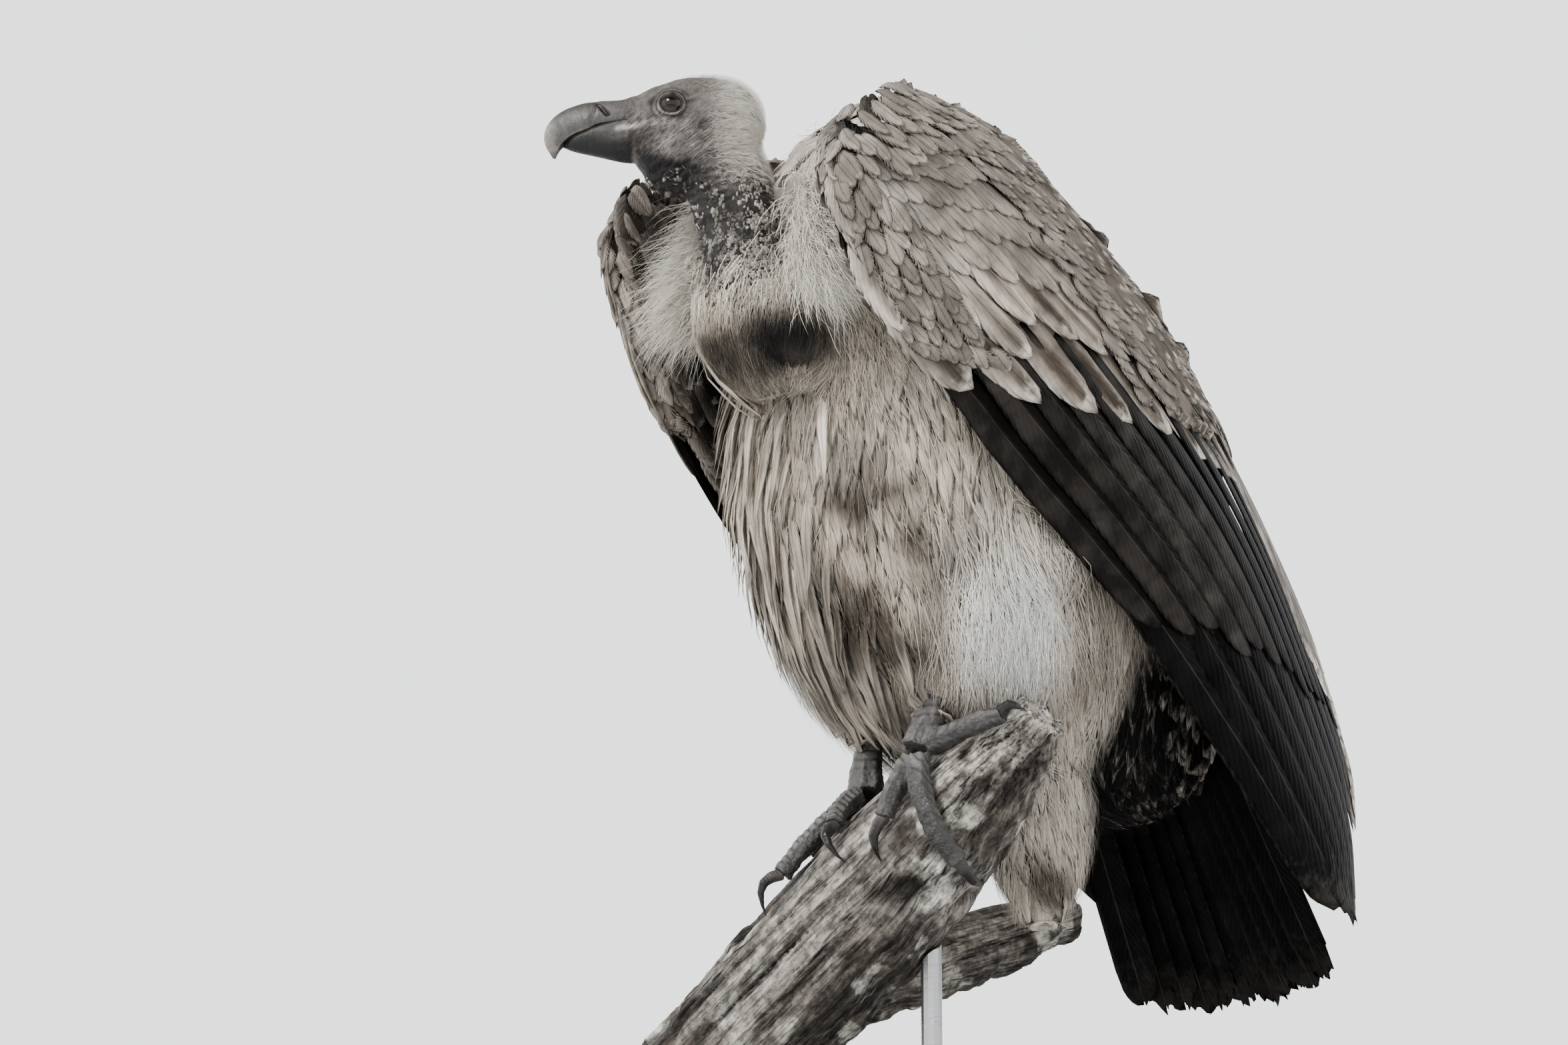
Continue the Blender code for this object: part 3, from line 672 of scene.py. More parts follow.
def vanes(name, spines, normals, widths, tones, marks, finish, slot, replaced=(), columns=4,
          thick=0.0005, camber=0.22, ragged=0.0, grid=True, tip=0.35, sharp=False,
          mirror=False):
    """Feathers as thin closed vanes in one mesh.

    spines and normals are arrays of (feathers, rows, 3); widths is each feather's full width;
    tones is (feathers, rows, 3); marks is (feathers, 3).
    """
    count, rows = spines.shape[:2]
    if marks.shape[1] == 3:
        marks = np.hstack([marks, np.zeros((count, 1))])
    t, outline = vane_outline(rows, tip, sharp)
    ahead = unit(np.gradient(spines, axis=1))
    side = unit(np.cross(ahead, normals))
    out = unit(np.cross(side, ahead))
    x = np.linspace(-1, 1, columns + 1)
    half = widths[:, None] * outline[None, :] / 2
    tatter = LUCK.normal(0, 1, (count, rows, columns + 1)) * ragged
    tatter *= np.clip(t[None, :, None] * 1.4 - 0.3, 0, 1) * widths[:, None, None]
    tatter *= 0.35 + 0.65 * np.abs(x)[None, None, :] * np.ones_like(tatter)
    reach = (half[:, :, None] * x)[..., None] * side[:, :, None, :]
    droop = (half[:, :, None] * x ** 2 * camber)[..., None] * out[:, :, None, :]
    top = spines[:, :, None, :] + reach - droop + tatter[..., None] * ahead[:, :, None, :]
    under = top[:, 1:-1, 1:-1] - thick * out[:, 1:-1, None, :]
    quads, size = vane_faces(rows, columns)
    points = np.concatenate([top.reshape(count, -1, 3), under.reshape(count, -1, 3)], axis=1)
    faces = (quads[None] + (np.arange(count) * size)[:, None, None]).reshape(-1, 4)
    mesh = built_mesh(name, points.reshape(-1, 3), faces)
    u, v = np.meshgrid((x + 1) / 2, t)
    local = np.stack([u, v], axis=-1)
    local = np.concatenate([local.reshape(-1, 2), local[1:-1, 1:-1].reshape(-1, 2)])
    row_of = np.concatenate([np.repeat(np.arange(rows), columns + 1),
                             np.repeat(np.arange(1, rows - 1), columns - 1)])
    paint(mesh, "tone", tones[:, row_of].reshape(-1, 3))
    paint(mesh, "marks", np.repeat(marks, size, axis=0))
    turned = local * [-1, 1] + [1, 0] if mirror else local
    add_map(mesh, "vane", np.tile(turned, (count, 1)))
    patches = grid_patches(count, local) if grid else spot_patches(spines[:, 0], local)
    add_map(mesh, "OFBake", patches.reshape(-1, 2))
    return placed(name, mesh, finish, slot, *replaced)


def blades(name, paths, normals, widths, tones, finish, slot, replaced=()):
    """Barbs of down as thin closed three-sided blades in one mesh, each ending in a point."""
    count, rows = paths.shape[:2]
    t = np.linspace(0, 1, rows)
    ahead = unit(np.gradient(paths, axis=1))
    side = unit(np.cross(ahead, normals))
    out = unit(np.cross(side, ahead))
    half = widths[:, None] / 2 * (1 - t ** 1.6)[None, :]
    ring = np.stack([paths - side * half[..., None], paths + side * half[..., None],
                     paths + out * half[..., None] * 0.5], axis=2)[:, :-1]
    points = np.concatenate([ring.reshape(count, -1, 3), paths[:, -1:]], axis=1)
    size = points.shape[1]
    index = np.arange(size - 1).reshape(rows - 1, 3)
    after = np.roll(index, -1, axis=1)
    first = np.stack([index[:-1], index[1:], after[1:]], axis=-1).reshape(-1, 3)
    second = np.stack([index[:-1], after[1:], after[:-1]], axis=-1).reshape(-1, 3)
    point = np.stack([index[-1], np.full(3, size - 1), after[-1]], axis=-1)
    pattern = np.concatenate([first, second, point, [[0, 1, 2]]])
    faces = (pattern[None] + (np.arange(count) * size)[:, None, None]).reshape(-1, 3)
    mesh = built_mesh(name, points.reshape(-1, 3), faces)
    owner = np.append(np.repeat(np.arange(rows - 1), 3), rows - 1)
    paint(mesh, "tone", tones[:, owner].reshape(-1, 3))
    local = np.stack([np.append(np.tile([0.0, 1.0, 0.5], rows - 1), 0.5), t[owner]], axis=-1)
    add_map(mesh, "OFBake", spot_patches(paths[:, 0], local).reshape(-1, 2))
    return placed(name, mesh, finish, slot, *replaced)


# ---------------------------------------------------------------- markings

FAN = np.array([0.020, -0.170, 0.700])       # where the breast streaks start
ANKLE = np.array([0.052, -0.050, 0.440])     # where each shank leaves its feathers
CROP = np.array([0.039, -0.166, 0.637])      # the middle of the bare patch over the crop


def hind_tones(tone, points, blotch):
    """Flanks, white thighs, pale vent and a near-black rump, darkened further as painted shade."""
    across, down, back = in_body(points).T
    both = both_sides(points)
    flank = ease(down, 0.030, 0.075) * ease(np.abs(across), 0.080, 0.110)
    tone = mixed(tone, COVERT_TAN * (0.75 + 0.40 * blotch[:, None]), flank * 0.80)
    leg = lump(both, [0.100, -0.036, 0.452], [0.030, 0.036, 0.062])
    tone = mixed(tone, CREAM * 1.18, np.clip(leg * 2.2, 0, 1))
    below = ease(down, 0.165, 0.215) * (1 - 0.55 * ease(points[:, 1], 0.000, 0.050))
    tone = mixed(tone, CREAM * (0.86 + 0.14 * blotch[:, None]), below * 0.9)
    # Near-black rump and rear flank: dark feathers, made blacker as painted shade where the rear lies in deep
    # shadow.
    rump = ease(points[:, 1] - 0.25 * np.maximum(0.40 - points[:, 2], 0), 0.060, 0.086)
    rump *= ease(down, 0.140, 0.185) * (1 - ease(back, 0.030, 0.070))
    return mixed(tone, QUILL_BLACK * 1.6, rump)


def plumage(points):
    """The bird's colour at any point of its body."""
    across, down, back = in_body(points).T
    blotch = rough(points, 0.030, 3, 5)
    fine = rough(points, 0.008, 2, 9)
    tone = mixed(CHEST, CREAM, 0.35 + 0.25 * blotch)
    front = ease(-back, 0.02, 0.10)
    band = ease(down, 0.000, 0.060) * (1 - ease(down, 0.135, 0.190)) * front
    band *= 1 - ease(across, 0.034, 0.068)
    middle = lump(points, [0.052, -0.092, 0.484], [0.052, 0.056, 0.066])
    band = np.maximum(band * 0.6, np.clip(middle * 1.8, 0, 1))
    tone = mixed(tone, BAND_BROWN, np.clip(band * (0.85 + 1.10 * blotch), 0, 0.96))
    streak = rough(points * [1, 1, 0.25], 0.011, 2, 13) * front
    tone = tone * (1 + 0.34 * streak)[:, None]
    upper = (1 - front) * ease(-down, -0.16, -0.02)
    tone = mixed(tone, COVERT_TOP * (1 + 0.3 * blotch[:, None]), upper * 0.85)
    shoulder = lump(points, [0.0, -0.070, 0.760], [0.13, 0.06, 0.05])
    tone = mixed(tone, CREAM, np.clip(shoulder * 1.2, 0, 0.8) * (1 - 0.5 * ease(back, 0.05, 0.12)))
    tone = hind_tones(tone, points, blotch)
    collar = lump(points, [0.006, -0.186, 0.631], [0.046, 0.050, 0.020])
    collar = np.clip(collar * 1.4 + 0.2 * blotch, 0, 0.90)
    tone = mixed(tone, COVERT_TOP * (0.20 + 0.2 * fine[:, None]), collar)
    around = ease(crop_share(points, 1.30) + 0.20 * blotch, 0.30, 0.70)
    tone = mixed(tone, COVERT_TOP * 0.26 * (1 + 0.5 * fine[:, None]), around * 0.80)
    lobe = lump(both_sides(points), [0.046, 0.050, 0.302], [0.022, 0.030, 0.024])
    tone = mixed(tone, HEART_BROWN * 0.9, np.clip(lobe * 1.8 - 0.3 + 0.2 * blotch, 0, 0.90))
    patch = (crop_share(points) - 0.34) * 2.6 + 0.5 * fine + 0.5 * blotch
    tone = mixed(tone, SKIN_DARK * 1.4, np.clip(patch, 0, 1))
    return tone * (1 + 0.10 * fine[:, None])


def bill_root(tone, ahead, up):
    """Cere, jaw and the pale line of the gape."""
    cere = ease(ahead, 0.024, 0.031)
    low = ease(-up, 0.010, 0.016)
    tone = mixed(tone, CERE_GREY, cere * (1 - low))
    jaw = mixed(np.array([0.046, 0.041, 0.037]), np.array([0.006, 0.0055, 0.005]), ease(-up, 0.016, 0.024))
    tone = mixed(tone, jaw, ease(ahead, 0.004, 0.028) * low)
    gape = ridge(up + 0.0125 - 0.06 * (0.032 - ahead), 0.0016)
    gape *= ease(ahead, 0.000, 0.006) * (1 - ease(ahead, 0.034, 0.038))
    return mixed(tone, [0.34, 0.30, 0.27], np.clip(gape, 0, 0.8))


def eye_rings(tone, ahead, side, up):
    """The dark corner, grooves and pale lids round the eye."""
    eye = np.hypot(ahead / 1.07, up / 0.93)
    lateral = ease(side, 0.012, 0.020)
    corner = spot(ahead - 0.0112, 0.0042, up - 0.0022, 0.0030)
    tone = mixed(tone, SKIN_DARK * 0.4, np.clip(corner * 1.3, 0, 0.96) * lateral)
    orbit = ridge(eye - 0.0091, 0.0008) + 0.75 * ridge(eye - 0.0121, 0.0010)
    tone = mixed(tone, SKIN_DARK * 0.8, np.clip(orbit, 0, 1) * 0.80 * lateral)
    low_half = 0.25 + 0.75 * ease(-up, -0.003, 0.003)
    lid = ridge(eye - 0.0080, 0.0006) + 0.55 * ridge(eye - 0.0105, 0.0008)
    tone = mixed(tone, [0.30, 0.27, 0.24], np.clip(lid, 0, 1) * 0.8 * lateral * low_half)
    edge = ridge(eye - 0.0068, 0.0007) * lateral
    return mixed(tone, SKIN_DARK * 0.4, np.clip(edge * 1.3, 0, 0.95))


def face(points):
    """The colour of the bare head and neck, with a painted shadow under the brow."""
    ahead, left, up = in_head(points).T
    side = np.abs(left)
    blotch = rough(points, 0.010, 3, 21)
    fine = rough(points, 0.0022, 2, 22)
    tone = all_over(CHEEK_GREY, len(points)) * (1 + 0.30 * blotch[:, None])
    cheek = ease(-up, 0.004, 0.014) * ease(side, 0.008, 0.016)
    both = np.stack([ahead, side, up], axis=-1)
    grooves = 0.65 * fibres(both, 0.0012, 0.0085, math.radians(40), 31)
    grooves = grooves + 0.45 * fibres(both, 0.0026, 0.0140, math.radians(28), 37)
    tone = tone * np.clip(1 + 0.35 * cheek * grooves, 0.3, 2.2)[:, None]
    lower = spot(ahead - 0.002, 0.022, up + 0.030, 0.011)
    tone = tone * (1 + 0.55 * lower)[:, None]
    crown = ease(up, 0.010, 0.020) * ease(-ahead, -0.018, 0.006)
    tone = mixed(tone, [0.115, 0.10, 0.088], crown * 0.7)
    # Painted shadow under the brow ridge: a dark line over the eye.
    line = 0.0078 - 0.34 * np.maximum(ahead - 0.003, 0) - 0.20 * np.maximum(-ahead - 0.004, 0)
    brow = ridge(up - line, 0.0017) * ease(ahead, -0.012, -0.006) * (1 - ease(ahead, 0.013, 0.018))
    tone = mixed(tone, SKIN_DARK * 0.6, np.clip(brow * 1.2, 0, 0.92) * ease(side, 0.010, 0.016))
    lore = spot(ahead - 0.019, 0.009, up + 0.001, 0.010)
    tone = mixed(tone, [0.085, 0.078, 0.074], lore * 0.75)
    tone = bill_root(tone, ahead, up)
    throat = ease(-up + 0.30 * ahead, 0.030, 0.040) * ease(ahead, -0.040, -0.016)
    tone = mixed(tone, SKIN_DARK * 0.4, throat * 0.96)
    pale = ease(-ahead, 0.022, 0.044) * ease(up, -0.060, -0.016)
    tone = mixed(tone, [0.36, 0.33, 0.29], pale * 0.8)
    tone = eye_rings(tone, ahead, side, up)
    nape = ease(-ahead, 0.045, 0.062) + ease(-up, 0.052, 0.066)
    nape = np.clip(nape, 0, 1)
    tone = mixed(tone, np.array([0.020, 0.018, 0.0165]) * (1 + 0.6 * blotch[:, None]), nape)
    return np.maximum(tone * (1 + 0.20 * fine[:, None]), 0.004)


def distance_to(points, tree):
    """How far each point lies from the nearest face."""
    return np.array([tree.find_nearest(Vector(point))[3] for point in points])


def neck_share(points):
    """0 on the feathered body, 1 on the bare head and neck."""
    near = 1 - ease(distance_to(points, NECK_TREE), 0.0035, 0.0110)
    return near * ease(np.asarray(points)[:, 2] + 0.10 * np.asarray(points)[:, 0], 0.640, 0.657)


def crop_share(points, grow=1.0):
    """1 at the middle of the dark bare patch over the crop."""
    return lump(points, CROP, np.array([0.0280, 0.034, 0.0195]) * grow)


# ---------------------------------------------------------------- the skin

NECK_TREE, _ = tree_of(["head", "neck"])
FLESH = ["head", "neck", "trunk", "thigh_left", "thigh_right", "vent"]
SOCKETS = ["eye_left", "eye_right"]
COAT_DEPTH = {"head": 0.0006, "neck": 0.0020, "trunk": 0.0100, "thigh_left": 0.0100,
              "thigh_right": 0.0100, "vent": 0.0100, "eye_left": 0.0006, "eye_right": 0.0006}
SWELL = 0.0024


def largest_part(mesh):
    """Drops everything but the part with the most vertices."""
    shape = bmesh.new()
    shape.from_mesh(mesh)
    shape.verts.ensure_lookup_table()
    label = np.full(len(shape.verts), -1)
    sizes = []
    for start in shape.verts:
        if label[start.index] >= 0:
            continue
        number, stack, size = len(sizes), [start], 0
        label[start.index] = number
        while stack:
            vertex = stack.pop()
            size += 1
            for edge in vertex.link_edges:
                other = edge.other_vert(vertex)
                if label[other.index] < 0:
                    label[other.index] = number
                    stack.append(other)
        sizes.append(size)
    keep = int(np.argmax(sizes))
    lost = [vertex for vertex in shape.verts if label[vertex.index] != keep]
    bmesh.ops.delete(shape, geom=lost, context="VERTS")
    shape.to_mesh(mesh)
    shape.free()


def distances(points, tree):
    """Signed distance of each point from a closed set of faces, and the nearest face's number.

    A point counts as inside only where it plainly lies behind its nearest face.
    """
    away = np.empty(len(points))
    index = np.empty(len(points), int)
    for number, point in enumerate(points):
        spot, normal, face_number, distance = tree.find_nearest(Vector(point))
        outside = (Vector(point) - spot).dot(normal) >= -0.7 * distance
        away[number] = distance if outside else -distance
        index[number] = face_number
    return away, index


def shrunk_skin():
    """The fleshy nodes' union, drawn in by the depth of the coat over each."""
    names = FLESH + SOCKETS
    mesh = voxel_mesh(names, SWELL, 0.0041)
    largest_part(mesh)
    tree, owners = tree_of(names)
    depths = np.array([COAT_DEPTH[name] for name in names])
    points, edges = points_of(mesh), edges_of(mesh)
    for _ in range(3):
        away, index = distances(points, tree)
        depth = averaged(depths[owners[index]], edges, 6)
        points = points + normals_of(mesh) * np.clip(-depth - away, -0.005, 0.0)[:, None]
        points = relaxed(points, edges, 2)
        set_points(mesh, points)
    points = relaxed(points, edges, 5)
    set_points(mesh, points)
    return mesh


def near_head(points):
    places = in_head(points)
    return (np.linalg.norm(places + [0.010, 0, 0.022], axis=1) < 0.064) & (places[:, 0] > -0.066)


def near_eye(points):
    places = in_head(points)
    return (np.hypot(places[:, 0], places[:, 2]) < 0.0145) & (np.abs(places[:, 1]) > 0.010)


def fibres(places, width, length, turn, seed):
    """Uneven strokes much longer than wide, running at the given angle below straight ahead."""
    run = places[:, 0] * math.cos(turn) - places[:, 2] * math.sin(turn)
    rise = places[:, 0] * math.sin(turn) + places[:, 2] * math.cos(turn)
    bent = rise + 0.35 * width * noise(places, length, seed + 5)
    turned = np.stack([run / length, places[:, 1] / (3 * width), bent / width], axis=-1)
    return rough(turned, 1.0, 2, seed)


def comb(mesh, points, wrinkled):
    """Stores where the cheek's fine wrinkles run, as stretched places, and how strong they are."""
    ahead, left, up = in_head(points).T
    turn = math.radians(42)
    run = ahead * math.cos(turn) - up * math.sin(turn)
    rise = ahead * math.sin(turn) + up * math.cos(turn) + 0.0006 * noise(points, 0.008, 35)
    combed = np.stack([run / 0.0065, np.abs(left) / 0.0040, rise / 0.00095], axis=-1)
    store(mesh, "combed", "FLOAT_VECTOR", "vector", combed)
    store(mesh, "wrinkled", "FLOAT", "value", wrinkled)


def cheek_share(points):
    """1 on the combed skin of the cheek and jaw."""
    ahead, left, up = in_head(points).T
    share = ease(-up, -0.001, 0.009) * ease(np.abs(left), 0.006, 0.014) * (1 - ease(ahead, 0.026, 0.038))
    return share * ease(ahead, -0.048, -0.034) * (1 - ease(-up, 0.038, 0.050))


def wrinkles(places, period, turn, seed):
    """Fine uneven folds running at the given angle from straight ahead, -1 to 1."""
    drift = rough(places, 0.012, 2, seed) * 0.45 + noise(places, 0.004, seed + 3) * 0.12
    line = places[:, 0] * math.sin(turn) + places[:, 2] * math.cos(turn)
    return np.sin((line / period + drift) * 2 * math.pi)


def sculpt_head(mesh):
    """Orbit, lids, brow, gape, cheek wrinkles and throat folds, pushed out of the smooth head."""
    points, normals = points_of(mesh), normals_of(mesh)
    places = in_head(points)
    ahead, side, up = places[:, 0], np.abs(places[:, 1]), places[:, 2]
    both = np.stack([ahead, side, up], axis=-1)
    on_head = 1 - ease(np.linalg.norm(places + [0.010, 0, 0.022], axis=1), 0.050, 0.062)
    push = 0.0026 * lump(both, [0.005, 0.022, 0.0122], [0.014, 0.010, 0.0036])
    push -= 0.0016 * lump(both, [0.020, 0.017, -0.001], [0.008, 0.010, 0.0075])
    push += 0.0014 * lump(both, [-0.014, 0.025, -0.028], [0.015, 0.012, 0.013])
    push -= 0.0022 * lump(both, [-0.0225, 0.025, -0.0165], [0.0042, 0.010, 0.0036])
    push += 0.0008 * lump(both, [-0.0175, 0.025, -0.0165], [0.0022, 0.010, 0.0050])
    gape_line = up + 0.0125 - 0.06 * (0.032 - ahead)
    gape = ease(ahead, 0.000, 0.006)
    push += gape * (0.0008 * ridge(gape_line, 0.0016)
                    - 0.0009 * ridge(gape_line - 0.0030, 0.0013)
                    - 0.0005 * ridge(gape_line + 0.0034, 0.0015))
    cere_step = ease(ahead, 0.0245, 0.0275)
    push += 0.0007 * cere_step - 0.0007 * ridge(ahead - 0.0240, 0.0012)
    cheek = ease(-up, 0.004, 0.014) * ease(side, 0.008, 0.016) * (1 - cere_step)
    push += 0.00055 * cheek * fibres(both, 0.0012, 0.0085, math.radians(40), 31)
    push += 0.00045 * cheek * fibres(both, 0.0026, 0.0140, math.radians(28), 37)
    throat = ease(-up, 0.032, 0.046)
    push += 0.0008 * throat * wrinkles(both, 0.0062, math.radians(14), 41)
    push += 0.00025 * rough(points, 0.005, 3, 43)
    points = points + normals * (push * on_head)[:, None]
    neck = neck_share(points) * (1 - on_head)
    folds = wrinkles(in_head(points), 0.0105, math.radians(20), 47)
    points = points + normals * (neck * (0.0009 * folds + 0.0007 * rough(points, 0.010, 3, 49)))[:, None]
    for name in ("left", "right"):
        points = lidded(points, name)
    set_points(mesh, points)


def lidded(points, name):
    """Wraps the skin over one eyeball, with a slightly oval opening and a double rim."""
    outward = HEAD_LEFT if name == "left" else -HEAD_LEFT
    arms = points - EYE_SPOTS[name]
    reach = np.linalg.norm(arms, axis=1)
    lateral = arms @ outward
    ray = arms / np.maximum(reach, 1e-9)[:, None]
    angle = np.degrees(np.arccos(np.clip(ray @ outward, -1, 1)))
    rise = np.degrees(np.arctan2(ray @ UP, np.hypot(ray @ HEAD_AHEAD, 1e-6)))
    opening = 45.0 - 9.0 * np.clip(rise / 90, 0, 1) - 4.0 * np.clip(-rise / 90, 0, 1)
    past = angle - opening
    lid = EYE_RADIUS + 0.0006
    lid += 0.0006 * ridge(past - 7, 3.5) - 0.0003 * ridge(past - 15, 3.0)
    lid += 0.0006 * ridge(past - 23, 4.5) - 0.0004 * ridge(past - 33, 4.0)
    lid = lid * ease(past, -1.5, 2.5) + (EYE_RADIUS - 0.0016) * (1 - ease(past, -1.5, 2.5))
    share = (1 - ease(past, 26, 42)) * (lateral > 0) * (reach < 0.020)
    return EYE_SPOTS[name] + ray * (reach * (1 - share) + lid * share)[:, None]


def meet_bill(points, halves):
    """Draws the face's front edge down on to the bill as a thin soft lip."""
    places = in_head(points)
    chosen = np.where((places[:, 0] > 0.012) & (np.linalg.norm(places, axis=1) < 0.060))[0]
    own = points[chosen]
    found = [nearest(own) for nearest in halves]
    away = [np.linalg.norm(spots - own, axis=1) for spots, _ in found]
    first = (away[0] < away[1])[:, None]
    spots = np.where(first, found[0][0], found[1][0])
    normals = np.where(first, found[0][1], found[1][1])
    ahead = places[chosen, 0]
    height = 0.0002 - 0.0022 * ease(ahead, 0.0275, 0.0305)
    target = spots + normals * height[:, None]
    share = ease(ahead, 0.014, 0.0255)[:, None]
    points = points.copy()
    points[chosen] = own * (1 - share) + target * share
    return points


def make_skin(halves, wings):
    mesh = shrunk_skin()
    refined(mesh, near_head)
    refined(mesh, near_head)
    edges = edges_of(mesh)
    points = points_of(mesh)
    set_points(mesh, relaxed(points, edges, 6, near_head(points).astype(float)))
    refined(mesh, near_eye)
    sculpt_head(mesh)
    set_points(mesh, meet_bill(points_of(mesh), halves))
    points, edges = points_of(mesh), edges_of(mesh)
    both = both_sides(points)
    shank = lump(both, ANKLE - [0.002, 0.002, 0.014], np.array([0.026, 0.026, 0.022]))
    # Close under the folded wings the skin is flattened and, lower down, darkened as painted shadow.
    tucked = (1 - ease(distance_to(points, wings), 0.004, 0.016)) * ease(0.70 - points[:, 2], 0.0, 0.03)
    tucked = averaged(tucked, edges, 3) * ease(in_body(points)[:, 1], 0.010, 0.030)
    flat = np.clip(np.maximum(tucked * 1.5, shank * 1.6), 0, 1)
    even = points
    for _ in range(40):
        near = np.stack([averaged(even[:, k], edges, 1) for k in range(3)], axis=-1)
        even = mixed(even, near, flat)
    set_points(mesh, even)
    mesh.shade_smooth()
    points = points_of(mesh)
    bare = averaged(neck_share(points), edges, 2)
    # The feathered skin: the plumage colour dimmed to 0.80 as painted shade under the feathers, and darker
    # still under the wings as painted shadow.
    under = plumage(points) * (0.80 - 0.55 * tucked)[:, None]
    paint(mesh, "tone", mixed(under, face(points), bare))
    comb(mesh, points, cheek_share(points) * bare)
    return placed("skin", mesh, skin_finish(), "plumage", *FLESH)


# ---------------------------------------------------------------- eyes and bill

def ball(name, middle, outward, radius, rows=36, columns=48):
    """A sphere whose pole looks outward, with a map of distance from the pole and turn round it."""
    angle = np.linspace(0, math.pi, rows)
    turn = np.arange(columns) * 2 * math.pi / columns
    first = unit(np.cross(outward, UP))
    second = np.cross(outward, first)
    bulge = radius * (1 + 0.035 * ridge(angle, 0.42))
    ring = np.cos(turn)[None, :, None] * first + np.sin(turn)[None, :, None] * second
    grid = middle + bulge[:, None, None] * (np.sin(angle)[:, None, None] * ring
                                            + np.cos(angle)[:, None, None] * outward)
    points = grid[1:-1].reshape(-1, 3)
    poles = np.array([middle + outward * bulge[0], middle - outward * bulge[-1]])
    mesh = built_mesh(name, np.concatenate([points, poles]), tube_faces(rows - 2, columns))
    away = np.repeat(angle[1:-1, None], columns, axis=1).ravel()
    around = np.repeat(turn[None], rows - 2, axis=0).ravel()
    add_map(mesh, "iris", np.stack([np.append(away, [0, math.pi]), np.append(around, [0, 0])], axis=-1))
    return mesh


def make_eyes():
    finish = eye_finish()
    for name, sign in (("left", 1), ("right", -1)):
        mesh = ball(f"eyeball_{name}", EYE_SPOTS[name], HEAD_LEFT * sign, EYE_RADIUS * 0.965)
        placed(f"eyeball_{name}", mesh, finish, "cornea", f"eye_{name}")


# Ahead of the eyes, and up from them, of the bill's ridge and of its cutting edge; half width.
UPPER_BILL = (
    (0.0210, 0.0128, 0.0220, -0.0080, 0.0118), (0.0275, 0.0108, 0.0275, -0.0079, 0.0140),
    (0.0340, 0.0090, 0.0340, -0.0078, 0.0134),
    (0.0460, 0.0087, 0.0460, -0.0092, 0.0116), (0.0525, 0.0084, 0.0510, -0.0108, 0.0110),
    (0.0590, 0.0074, 0.0560, -0.0126, 0.0104), (0.0700, 0.0034, 0.0640, -0.0156, 0.0090),
    (0.0785, -0.0030, 0.0690, -0.0186, 0.0072), (0.0830, -0.0112, 0.0722, -0.0216, 0.0053),
    (0.0827, -0.0200, 0.0742, -0.0252, 0.0034), (0.0776, -0.0293, 0.0757, -0.0297, 0.0008))
CUTTING_EDGE = ((0.030, 0.046, 0.064, 0.074), (-0.0068, -0.0092, -0.0156, -0.024))
LOWER_BILL = (
    (0.0210, -0.0052, 0.0210, -0.0312, 0.0122), (0.0275, -0.0052, 0.0275, -0.0320, 0.0140),
    (0.0340, -0.0056, 0.0340, -0.0314, 0.0128),
    (0.0450, -0.0080, 0.0450, -0.0290, 0.0102), (0.0550, -0.0113, 0.0560, -0.0266, 0.0083),
    (0.0635, -0.0150, 0.0645, -0.0245, 0.0063), (0.0700, -0.0190, 0.0705, -0.0222, 0.0022))
UPPER_ARCH = ((0.0, 0.0), (0.24, 0.018), (0.47, 0.075), (0.67, 0.18), (0.83, 0.33), (0.94, 0.50),
              (1.0, 0.67), (1.0, 0.82), (0.965, 0.93), (0.90, 1.0), (0.78, 0.985), (0.55, 0.93),
              (0.28, 0.90), (0.0, 0.89))
LOWER_ARCH = ((0.0, 0.14), (0.30, 0.12), (0.62, 0.08), (0.84, 0.0), (0.92, 0.07), (0.97, 0.22),
              (0.96, 0.42), (0.88, 0.62), (0.72, 0.80), (0.50, 0.92), (0.25, 0.985), (0.0, 1.0))


def bill_mesh(name, table, arch, rows, shape_more):
    """Lofts one half of the bill through its stations; shape_more moves its points in head places."""
    fine = smooth_rows(table, rows)
    section = smooth_rows(arch, 52)
    section = np.concatenate([section, section[-2:0:-1] * [-1, 1]])
    top = np.stack([fine[:, 0], 0 * fine[:, 0], fine[:, 1]], axis=-1)
    low = np.stack([fine[:, 2], 0 * fine[:, 0], fine[:, 3]], axis=-1)
    places = top[:, None] + (low - top)[:, None] * section[None, :, 1:2]
    places[..., 1] = fine[:, None, 4] * section[None, :, 0]
    places = shape_more(places.reshape(-1, 3)).reshape(places.shape)
    columns = len(section)
    points = from_head(places.reshape(-1, 3))
    hubs = np.array([points[:columns].mean(axis=0), points[-columns:].mean(axis=0)])
    mesh = built_mesh(name, np.concatenate([points, hubs]), tube_faces(rows, columns))
    steps = np.append(np.repeat(np.arange(rows) / rows, columns), [0, 1])
    around = np.append(np.tile(np.arange(columns) / columns, rows), [0, 0])
    add_map(mesh, "grain", np.stack([around, steps], axis=-1))
    return mesh, np.concatenate([places.reshape(-1, 3), in_head(hubs)])


def nostril_share(places):
    """1 in the slanting slit of each nostril."""
    start, end = np.array([0.0478, 0.0040]), np.array([0.0415, -0.0040])
    line = end - start
    away = places[:, [0, 2]] - start
    t = np.clip(away @ line / (line @ line), 0, 1)
    distance = np.linalg.norm(away - t[:, None] * line, axis=1)
    return (1 - ease(distance, 0.0008, 0.0020)) * ease(np.abs(places[:, 1]), 0.006, 0.009)


def upper_bill_shape(places):
    ahead, left, up = places.T
    cere = 1 - ease(ahead + 0.22 * up, 0.0485, 0.0515)
    swell = 1 + 0.045 * cere - 0.05 * ridge(ahead + 0.22 * up - 0.0505, 0.0012)
    folds = 0.012 * np.sin(ahead * 1900 + 2.2 * np.sin(up * 420)) * cere * (1 - ease(ahead, 0.034, 0.042))
    dip = 1 - 0.24 * nostril_share(places)
    rim = 1 + 0.05 * ridge(nostril_share(places) - 0.35, 0.2) * (nostril_share(places) > 0.02)
    return np.stack([ahead, left * (swell + folds) * dip * rim, up + 0.0004 * cere], axis=-1)


